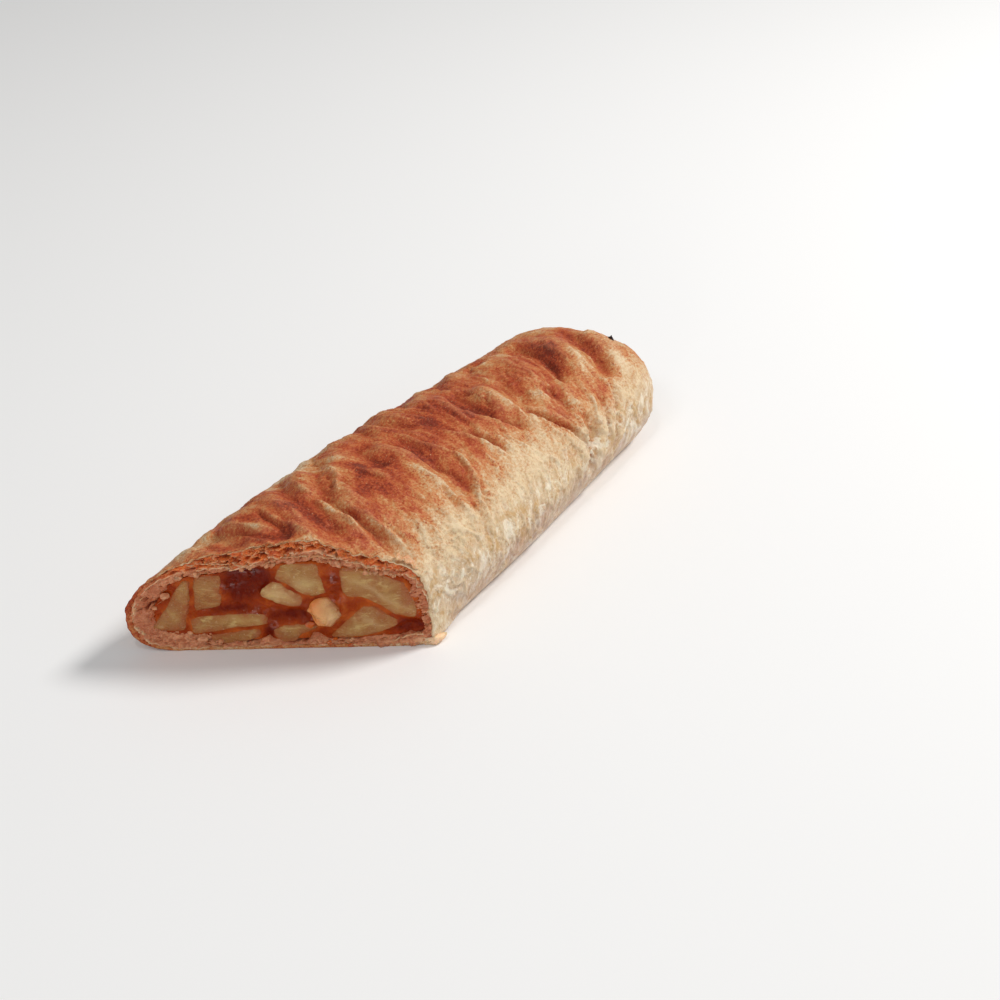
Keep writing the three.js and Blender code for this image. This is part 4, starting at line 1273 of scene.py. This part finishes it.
def makeApple(number, apple):
    size = appleCut
    edge = appleOutline(apple["outline"], size["around"])
    middle = edge.mean(0)
    arm = edge - middle
    wavy = size["wave"] * softNoise(flatPoints(edge[:, 0], edge[:, 1]), 1.6, 60 + number)
    edge = middle + arm * (1 + (wavy + size["outset"]) / np.linalg.norm(arm, axis=1))[:, None]
    radius = size["edge"]
    rows, edgeValues, borderValues = [], [], []
    one = np.ones(len(edge))

    def flatAt(share):
        return middle + (edge - middle) * np.asarray(share).reshape(-1, 1)

    def addRow(share, depth, stain=one, border=one):
        flat = flatAt(share)
        rows.append(onCut(flat[:, 0], flat[:, 1], depth / slant))
        edgeValues.append(stain)
        borderValues.append(border)

    def front(share):
        flat = flatAt(share)
        inner = -outlineDistance(flat[:, 0], flat[:, 1], edge)
        return appleFront(flat[:, 0], flat[:, 1], inner, apple, number), inner

    inset = 1 - radius / np.linalg.norm(edge - middle, axis=1)
    for ring in range(1, size["rings"] + 1):
        share = inset * (ring / size["rings"])
        depth, inner = front(share)
        inner = np.maximum(inner, 0)
        addRow(share, depth, 0.9 * np.exp(-inner / 0.95), np.exp(-inner / 2.2))
    rim = front(inset)[0]
    for corner in (0.35, 0.7, 1.0):
        angle = corner * math.pi / 2
        addRow(inset + (1 - inset) * math.sin(angle), rim + radius * (1 - math.cos(angle)))
    for step in range(1, size["sideRows"]):
        depth = rim + radius + (apple["depth"] - radius - (rim + radius)) * step / size["sideRows"]
        addRow(1 + 0.02 * softNoise(flatPoints(edge[:, 0], edge[:, 1], depth), 4, 80 + number), depth)
    addRow(inset * 0.99, apple["depth"] * one)
    values = {"edge": edgeValues, "border": borderValues, "core": [0 * one] * len(rows)}
    if "core" in apple:
        cy, cz, long_, wide, turn = apple["core"]
        axes = [turned(row[:, 1] - cy, row[:, 2] - cz, turn) for row in rows]
        values["core"] = [bell(p, long_) * bell(q - 0.5 * np.sin(p * 0.5), wide) for p, q in axes]
    values["tint"] = [apple["tint"] * one] * len(rows)
    values["warm"] = [apple.get("warm", 0) * ease((row[:, 1] + 13.6) / 6) for row in rows]
    values["pale"] = [apple.get("pale", 0) * one] * len(rows)
    piece = rowsMesh(f"appleDice{number}", rows, values)
    piece.data.materials.append(appleMaterial)
    return piece


applePieces = [makeApple(i + 1, apple) for i, apple in enumerate(apples)]
print("strudel: apple", len(applePieces))

# the filling

filling = {
    "across": 380,
    "rings": 120,
    "crowding": 0.75,  # the rings lie closer towards the outline
    "front": 0.5,  # the sauce lies about this far behind the cut
    "bodyRows": 12,
    "bodyEnds": (0.05, 0.985),
    "gap": 0.1,
    "middle": (-2.0, 14.0),
    "swallow": 2.6,  # how deep it dips behind each piece of apple
}
# hollows and dark places of the sauce: across, height, half sizes, depth and darkness
saucePockets = [
    (7.5, 21.5, 5.5, 4.5, 1.5, 1.0), (-28.5, 6.8, 4.0, 2.2, 1.4, 1.0), (-2.5, 11.2, 6.5, 2.0, 0.9, 0.6),
    (6.5, 25.2, 4.0, 1.6, 0.9, 0.5), (-13, 21.5, 1.8, 4.0, 0.3, 0.25), (24, 14, 1.5, 5.0, 0.1, 0.2),
    (2.5, 5.5, 1.4, 3.0, 0.9, 0.7), (-12, 5, 3.0, 2.0, 0.2, 0.1), (10, 13.5, 5.0, 1.4, 0.3, 0.55),
]
# wet wrinkles that catch the light: across, height and half sizes
wetPlaces = [
    (11, 21, 2.2, 1.0), (4.5, 12.8, 2.6, 0.9), (-12.6, 23, 0.8, 2.0), (-13.5, 16.5, 1.4, 1.2),
    (1.2, 8, 1.0, 2.0), (-7, 11.5, 1.4, 2.4), (7, 25, 2.4, 1.0),
]


def spotAt(y, z, py, pz, wide, high):
    # a soft oval place: 1 in its middle
    return np.exp(-(((y - py) / wide) ** 2 + ((z - pz) / high) ** 2))


def makeFilling():
    # the sauce closes round the apple: it climbs a little at each piece and dips deep inside it
    size = filling
    shares = np.linspace(0, 1, size["across"], endpoint=False)
    outline = loopPoint(liningOutline, shares)
    middle = np.array(size["middle"])
    arm = outline - middle
    outline = outline - arm / np.linalg.norm(arm, axis=1, keepdims=True) * size["gap"]
    ringShares = (np.arange(1, size["rings"] + 1) / size["rings"]) ** size["crowding"]
    flat = middle + (outline - middle)[None] * ringShares[:, None, None]
    y, z = flat[..., 0], flat[..., 1]
    face = flatPoints(y, z)
    film = bell(softNoise(face, 2.6, 92), 0.12) * ease(softNoise(face, 5, 93) * 2)
    hollows = sum(depth * spotAt(y, z, *place) for *place, depth, _ in saucePockets)
    darkness = sum(dark * spotAt(y, z, *place) for *place, _, dark in saucePockets)
    recess = size["front"] + hollows + 0.3 * softNoise(face, 5, 90) + 0.2 * softNoise(face, 1.5, 91)
    recess = recess - 0.4 * film
    wet = sum(spotAt(y, z, *place) for place in wetPlaces)
    bubbles = domes(flatPoints(0.7 * y, 1.1 * z), 2.0, 97)
    wrinkles = sharpRidges(flatPoints(y, z / 1.5), 96)
    recess = recess - np.clip(wet, 0, 1) * (0.3 * wrinkles + bubbles)
    nearest = np.full(y.shape, 1e9)
    for i, apple in enumerate(apples):
        gap = outlineDistance(y, z, appleOutline(apple["outline"], appleCut["around"]))
        front = appleFront(y, z, np.maximum(-gap, 0), apple, i + 1)
        climb = np.exp(-np.maximum(gap, 0) / 0.8)
        recess = recess * (1 - climb) + (front + 0.04) * climb
        recess = recess + size["swallow"] * ease((-gap - 0.15) / 1.2)
        nearest = np.minimum(nearest, gap)
    mellow = ease(softNoise(face, 4, 94) * 1.5 + 0.5)
    pocket = 0.45 + darkness - 0.32 * mellow * np.exp(-np.maximum(nearest, 0) / 1.1)
    grid = onCut(y, z, recess / slant)
    rows, dark, shine = list(grid), list(np.clip(pocket, 0, 1)), list(np.clip(0.03 + wet, 0, 1))
    for along in np.linspace(*size["bodyEnds"], size["bodyRows"]):
        inside = rollPoint(shares, along, 1.0)
        centre = np.array([roll["endShift"] * float(ease((along - 0.5) / 0.5)), roll["endHeight"]])
        pull = inside[:, 1:] - centre
        inside[:, 1:] -= pull / np.linalg.norm(pull, axis=1, keepdims=True) * size["gap"]
        rows.append(inside)
        dark.append(np.full(len(shares), 0.5))
        shine.append(np.zeros(len(shares)))
    piece = rowsMesh("sauce", rows, {"pocket": dark, "wet": shine})
    piece.data.materials.append(sauceMaterial)
    return piece


sauce = makeFilling()
print("strudel: sauce", len(sauce.data.polygons))

# crumbs on the cut, and thin leaf edges

crumbs = {
    "cut": {"density": 1.3e6, "small": 0.00014, "large": 0.00042, "seed": 3},
    "hanging": {"density": 1.2e6, "small": 0.0002, "large": 0.00095, "seed": 11},
}


def setInput(modifier, label, value):
    for item in modifier.node_group.interface.items_tree:
        if item.item_type == "SOCKET" and item.in_out == "INPUT" and item.name == label:
            modifier[item.identifier] = value


def makeCrumbTree():
    tree, n, given, end = newTree(
        "scatterCrumbs", "GeometryNodeTree",
        [("Geometry", "Geometry", None), ("Density", "Float", 1.0), ("Small", "Float", 0.0002),
         ("Large", "Float", 0.0006), ("Seed", "Int", 0), ("Material", "Material", None)],
        [("Geometry", "Geometry")])
    where = n.add("GeometryNodeInputNamedAttribute", {"Name": "crumbChance"}, data_type="FLOAT")
    density = n.times(where.outputs["Attribute"], given["Density"])
    spread = n.add("GeometryNodeDistributePointsOnFaces",
                   {"Mesh": given["Geometry"], "Density": density, "Seed": given["Seed"]})
    # a lumpy ball
    ball = n.add("GeometryNodeMeshIcoSphere", {"Radius": 1.0, "Subdivisions": 2})
    bumpy = n.add("ShaderNodeTexNoise", {"Scale": 1.1, "Detail": 2.0}, noise_dimensions="4D")
    amount = n.times(n.math("SUBTRACT", bumpy.outputs["Fac"], 0.5), 2.7)
    normal = n.add("GeometryNodeInputNormal").outputs[0]
    pushed = n.add("ShaderNodeVectorMath", {0: normal, "Scale": amount}, operation="SCALE")
    lump = n.add("GeometryNodeSetPosition", {"Geometry": ball.outputs["Mesh"], "Offset": pushed.outputs[0]})
    # its size, proportions and turn
    scale = n.add("FunctionNodeRandomValue", {"Seed": given["Seed"], 2: given["Small"], 3: given["Large"]},
                  data_type="FLOAT")
    squash = n.add("FunctionNodeRandomValue", {"Seed": 5, 0: (0.7, 0.55, 0.6), 1: (1.3, 1.1, 1.2)},
                   data_type="FLOAT_VECTOR")
    sized = n.add("ShaderNodeVectorMath", {0: squash.outputs[0], "Scale": scale.outputs[1]},
                  operation="SCALE")
    spin = n.add("FunctionNodeRandomValue", {"Seed": 9, 1: (6.28, 6.28, 6.28)}, data_type="FLOAT_VECTOR")
    placed = n.add("GeometryNodeInstanceOnPoints",
                   {"Points": spread.outputs["Points"], "Instance": lump.outputs["Geometry"],
                    "Rotation": spin.outputs[0], "Scale": sized.outputs[0]})
    real = n.add("GeometryNodeRealizeInstances", {"Geometry": placed.outputs["Instances"]})
    done = n.add("GeometryNodeSetMaterial",
                 {"Geometry": real.outputs["Geometry"], "Material": given["Material"]})
    n.put(end, "Geometry", done.outputs["Geometry"])
    return tree


def bakeNodes(host, tree, inputs, name):
    # the modifier's result as a plain mesh
    modifier = host.modifiers.new(name, "NODES")
    modifier.node_group = tree
    for label, value in inputs.items():
        setInput(modifier, label, value)
    mesh = bpy.data.meshes.new_from_object(host.evaluated_get(bpy.context.evaluated_depsgraph_get()))
    host.modifiers.remove(modifier)
    return smoothObject(name, mesh)


def makeCrumbs(name, look, chance, material):
    setValues(doughLayers.data, "crumbChance", chance)
    inputs = {key.capitalize(): value for key, value in look.items()} | {"Material": material}
    piece = bakeNodes(doughLayers, makeCrumbTree(), inputs, name)
    doughLayers.data.attributes.remove(doughLayers.data.attributes["crumbChance"])
    return piece


def readValues(mesh, key):
    values = np.zeros(len(mesh.vertices), np.float32)
    mesh.attributes[key].data.foreach_get("value", values)
    return values


places = meshPoints(doughLayers.data)
crumbValues, hollowValues, hangingValues = (
    readValues(doughLayers.data, key) for key in ("crumb", "hollow", "hanging"))
inFront = ease((3.0 - (places[:, 0] - cutAt(places[:, 1]))) / 0.6)
facePlaces = flatPoints(places[:, 1], places[:, 2])
patchy = ease(softNoise(facePlaces, 4, 99) + 0.5)
clumps = ease(softNoise(facePlaces, 3, 98) * 1.7 + 0.3)
higher = 0.2 + 0.8 * ease((places[:, 2] - 18) / 8)
cutChance = inFront * crumbValues * patchy * (1 - 0.5 * hollowValues) * higher
cutCrumbs = makeCrumbs("cutCrumbs", crumbs["cut"], cutChance, crumbMaterial)
hangingChance = inFront * hangingValues * clumps * higher
hangingCrumbs = makeCrumbs("hangingCrumbs", crumbs["hanging"], hangingChance, paleCrumbMaterial)
print("strudel: crumbs", len(cutCrumbs.data.polygons), len(hangingCrumbs.data.polygons))

lowest = 0.02  # nothing small reaches under this height
leafRibbon = {
    "step": 0.22,
    "fewest": 24,
    "taper": 1.5,  # length of each end over which a leaf sinks into the dough
    # shares of the width, and how far the waves have moved there
    "section": [(0, 0), (0.35, 0.02), (0.7, 0.5), (1, 1)],
    "flapThickness": 1,  # a thicker one is the flap at the foot
}
# thin leaves of dough that stand out of the cut: paths as (across, height), width and thickness in mm
leafEdges = {
    "upper": {"path": [(20, 28.4), (14, 28.8), (9, 28.4), (4.5, 27.7), (2.5, 28.4), (0, 29.6)],
              "width": 1.6, "thickness": 0.15},
    "middle": {"path": [(1.0, 29.2), (-2, 30.2), (-5, 30.6), (-9, 30.6), (-13, 29.8)],
               "width": 1.3, "thickness": 0.13},
    "right": {"path": [(-12, 30.2), (-16, 28.9), (-20, 27.6), (-24, 26.2), (-27, 25.7), (-29.4, 26.4)],
              "width": 1.5, "thickness": 0.14},
    "nose": {"path": [(30, 5), (32.4, 8.5), (32.6, 12), (31.4, 15.6), (29, 19)],
             "width": 1.2, "thickness": 0.14},
    "lip": {"path": [(11, 31.6), (7.5, 32.6), (4, 33.6), (0, 34.3), (-4, 35.2)],
            "width": 1.2, "thickness": 0.12},
    "corner": {"path": [(-26.5, 30.2), (-27.6, 29), (-28.6, 29.2), (-29.6, 27.6), (-30.6, 27.2), (-31.4, 25)],
               "width": 2.0, "thickness": 0.16},
    "low": {"path": [(-21, 0.9), (-25, 1.1), (-29, 1.3), (-32.4, 1.4), (-34.6, 1.5), (-36.6, 2.0)],
            "width": 2.6, "thickness": 2.1},
    "lowEdge": {"path": [(-22.8, 1.0), (-24.6, 1.2), (-27, 2.6), (-31, 4.2), (-33.0, 3.6), (-34.4, 3.9)],
                "width": 1.6, "thickness": 0.25},
    "threadA": {"path": [(-17.9, 27.4), (-18.3, 26.2), (-18.0, 25.2), (-18.9, 24.0)],
                "width": 0.9, "thickness": 0.13},
    "threadB": {"path": [(-20.4, 26.8), (-20.9, 25.6), (-20.5, 24.7)], "width": 0.9, "thickness": 0.12},
    "threadC": {"path": [(-25.6, 24.6), (-26.6, 23.6), (-26.4, 22.8), (-27.4, 22.2)],
                "width": 0.9, "thickness": 0.14},
    "sideA": {"path": [(-30.2, 24.6), (-31.4, 22.4), (-31.2, 20.8), (-32.4, 18.8)],
              "width": 1.3, "thickness": 0.15},
}


def makeLeaf(name, leaf, seed):
    # a wavy ribbon that follows its path over the cut and goes into the dough behind
    size = leafRibbon
    path = np.array(leaf["path"], float)
    length = lengthsAlong(path)[-1]
    count = max(size["fewest"], int(length / size["step"]))
    s = np.linspace(0, length, count)
    flat = smoothPath(pathAt(path, s), np.hanning(9), mode="edge")
    slope = np.gradient(flat, axis=0)
    slope /= np.linalg.norm(slope, axis=1, keepdims=True)
    up = np.stack([-slope[:, 1], slope[:, 0]], -1)
    ends = ease(s / size["taper"]) * ease((length - s) / size["taper"])
    where = flatPoints(s, np.zeros(count), seed * 3.0)
    out = 0.1 + 0.8 * softNoise(where, 1.9, seed) + 0.45 * softNoise(where, 0.7, seed + 1)
    out = np.clip(out, -0.7, 0.9) * ends - 0.6 * (1 - ends)
    thick = leaf["thickness"] * (0.25 + 0.85 * np.sqrt(ends))
    there, back = size["section"], size["section"][::-1]
    rows = []
    for across, deep, side in [(*half, 1) for half in there] + [(*half, -1) for half in back]:
        wave = (0.45 * softNoise(flatPoints(s, deep * 2.0, seed * 1.0), 2.2, seed + 2)
                + 0.22 * softNoise(flatPoints(s, deep, seed * 2.0), 0.8, seed + 3))
        p = flat + up * (wave + side * thick * 0.5)[:, None]
        rows.append(onCut(p[:, 0], np.maximum(p[:, 1], lowest), -out + leaf["width"] * across))
    grid = np.stack(rows, 1)  # along the path, round the section
    return rowsMesh("leafEdge" + name[0].upper() + name[1:], list(grid))


leafPieces = []
for i, (name, leaf) in enumerate(leafEdges.items()):
    piece = makeLeaf(name, leaf, 120 + 7 * i)
    flap = leaf["thickness"] > leafRibbon["flapThickness"]
    piece.data.materials.append(doughMaterial if flap else leafMaterial)
    if flap:  # it turns pale where it leaves the cut
        setValues(piece.data, "sheet", 1.15 * ease((-30 - meshPoints(piece.data)[:, 1]) / 3.5))
    leafPieces.append(piece)
print("strudel: leaf edges", len(leafPieces))

# beads of juice, lumps of dough and a burnt flake

beads = {
    "around": 28,
    "rings": 16,
    "flatness": 0.8,
    "wobble": 0.1,
    # across, height, radius and how far each stands out of the cut
    "sauceBead": [(-7.4, 8.4, 1.05, 0.8), (-11.4, 1.7, 0.75, 0.1), (-16, 0.6, 0.65, 0.0),
                  (-12.6, 3, 0.5, 0.1)],
    "doughLump": [(24.6, 18.7, 1.0, 0.35), (17.3, 3.9, 1.15, 0.3)],
}


def makeBeads(name):
    size = beads
    pieces = []
    turn = np.linspace(0, 2 * math.pi, size["around"], endpoint=False)
    for number, (y, z, radius, proud) in enumerate(size[name], 1):
        rows = []
        for step in range(1, size["rings"]):
            angle = math.pi * step / size["rings"]
            reach = radius * math.sin(angle)
            py, pz = y + reach * np.cos(turn), z + reach * np.sin(turn)
            depth = np.full(len(turn), -proud - radius * size["flatness"] * math.cos(angle))
            wobble = size["wobble"] * softNoise(flatPoints(py, pz, depth), 1.2, 140 + number)
            rows.append(flatPoints(cutAt(py) + depth + wobble, py + wobble, np.maximum(pz + wobble, lowest)))
        pieces.append(rowsMesh(f"{name}{number}", rows))
    return pieces


beadPieces = makeBeads("sauceBead")
for piece in beadPieces:
    setValues(piece.data, "pocket", np.full(len(piece.data.vertices), 0.02))
    setValues(piece.data, "wet", np.ones(len(piece.data.vertices)))
    piece.data.materials.append(sauceMaterial)
lumpPieces = makeBeads("doughLump")
for piece in lumpPieces:
    piece.data.materials.append(paleCrumbMaterial)

burntFlake = {
    "round": 44.5,
    "along": 156.5,
    "long": 3.4,
    "wide": 2.0,
    "high": 1.1,
    "thickness": 0.35,
    "longPoints": 15,
    "widePoints": 9,
}


def makeBurntFlake():
    size = burntFlake
    share = float(shareAt(size["round"]))
    centre = rollPoint(share, size["along"] / roll["length"])
    grid = []
    us = np.linspace(-1, 1, size["longPoints"])
    for side in (1, -1):
        for v in np.linspace(-1, 1, size["widePoints"]) * side:
            x = centre[0] + us * size["wide"] * 0.4 + v * 0.5
            y = centre[1] + us * size["long"] * 0.5 * math.sqrt(max(0.05, 1 - 0.8 * v * v))
            z = centre[2] - 0.5 + size["high"] * (0.5 + 0.5 * v * side) * (1 - us**2) + 0.15 * np.sin(us * 7)
            grid.append(flatPoints(x + side * size["thickness"] * 0.5, y, z))
    piece = rowsMesh("burntFlake", list(np.stack(grid, 1)))
    piece.data.materials.append(burntMaterial)
    return piece


burntPiece = makeBurntFlake()
print("strudel: beads and flake")

# bodies, and the imported pieces hidden

for piece in [pastrySkin, doughLayers, cutCrumbs, hangingCrumbs, burntPiece] + lumpPieces + leafPieces:
    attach(piece, "root")
for piece in [sauce] + beadPieces:
    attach(piece, "root")
for piece in applePieces:
    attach(piece, "root")
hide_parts("pastry")
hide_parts("pastry")
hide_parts("filling")
for i, piece in enumerate(applePieces):
    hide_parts(f"apple_{i + 1}")

# floor, light and camera

studio = {
    "floor": (0.93, 0.93, 0.93, 1.0),
    "floorShade": (0.91, 0.91, 0.91, 1.0),
    "floorReach": 4.0,
    "world": 0.32,
    "lens": 61.2,
    "target": (95.56, -11.39, 0.0),  # where the camera looks, in the roll's millimetres
    "distance": 531.25,
    "azimuth": -58.0,
    "elevation": 33.0,
}
# metres to the right, up and away as the camera sees it, then size, power and colour
lamps = {
    "keyLight": (0.78, 0.9, 0.3, 0.34, 10.2, (1.0, 0.985, 0.96)),
    "fillLight": (-0.4, 0.9, -0.74, 0.3, 1.6, (0.98, 0.99, 1.0)),
    "glintLight": (-0.12, 0.85, -0.42, 0.07, 0.6, (1.0, 1.0, 1.0)),
    "sheenLight": (-0.22, 0.26, -0.95, 0.1, 0.5, (1.0, 0.98, 0.95)),
}
cameraTurn = -math.radians(studio["azimuth"])
cameraRight = np.array([math.cos(cameraTurn), -math.sin(cameraTurn), 0])
awayFromCamera = np.array([math.sin(cameraTurn), math.cos(cameraTurn), 0])


def makeFloor():
    mesh = bpy.data.meshes.new("floor")
    reach, down = studio["floorReach"], -2e-5  # a hair below the base
    corners = ((-1, -1), (1, -1), (1, 1), (-1, 1))
    mesh.from_pydata([(reach * x, reach * y, down) for x, y in corners], [], [(0, 1, 2, 3)])
    material, n, shader, place = newMaterial("paleFloor", 0.8, specular=0.2)
    soft = n.fit(n.noise(place, 1.5, 2.0), 0.3, 0.7, 0.0, 0.02)
    n.put(shader, "Base Color", n.mix(soft, studio["floor"], studio["floorShade"]))
    mesh.materials.append(material)
    floor = addObject("floor", mesh)


def addLamp(name, right, up, away, size, power, colour):
    light = bpy.data.lights.new(name, "AREA")
    light.shape = "DISK"
    light.size = size
    light.energy = power
    light.color = colour
    lamp = addObject(name, light)
    lamp.location = cameraRight * right + awayFromCamera * away + np.array([0, 0, up])
    lamp.rotation_euler = (-lamp.location).to_track_quat("-Z", "Y").to_euler()


def makeCamera():
    azimuth, elevation = math.radians(studio["azimuth"]), math.radians(studio["elevation"])
    back = Vector((math.sin(azimuth) * math.cos(elevation), -math.cos(azimuth) * math.cos(elevation),
                   math.sin(elevation)))
    data = bpy.data.cameras.new("camera")
    data.lens = studio["lens"]
    data.sensor_width = 36
    camera = addObject("camera", data)
    camera.location = Vector(toFrame(studio["target"])) + back * studio["distance"] / 1000
    camera.rotation_euler = (-back).to_track_quat("-Z", "Y").to_euler()
    bpy.context.scene.camera = camera


makeFloor()
for name, lamp in lamps.items():
    addLamp(name, *lamp)
makeCamera()
world = bpy.data.worlds.new("studio")
world.use_nodes = True
sky = world.node_tree.nodes["Background"]
sky.inputs["Color"].default_value = (1, 1, 1, 1)
sky.inputs["Strength"].default_value = studio["world"]
bpy.context.scene.world = world
bpy.context.scene.view_settings.view_transform = "Standard"
print("strudel: studio")

built = [pastrySkin, doughLayers, cutCrumbs, hangingCrumbs, burntPiece, sauce]
built += beadPieces + lumpPieces + leafPieces + applePieces
sizes = {piece.name: sum(len(polygon.vertices) - 2 for polygon in piece.data.polygons) for piece in built}
large = {name: count for name, count in sizes.items() if count > 20000}
print("strudel: triangles", sum(sizes.values()), large)
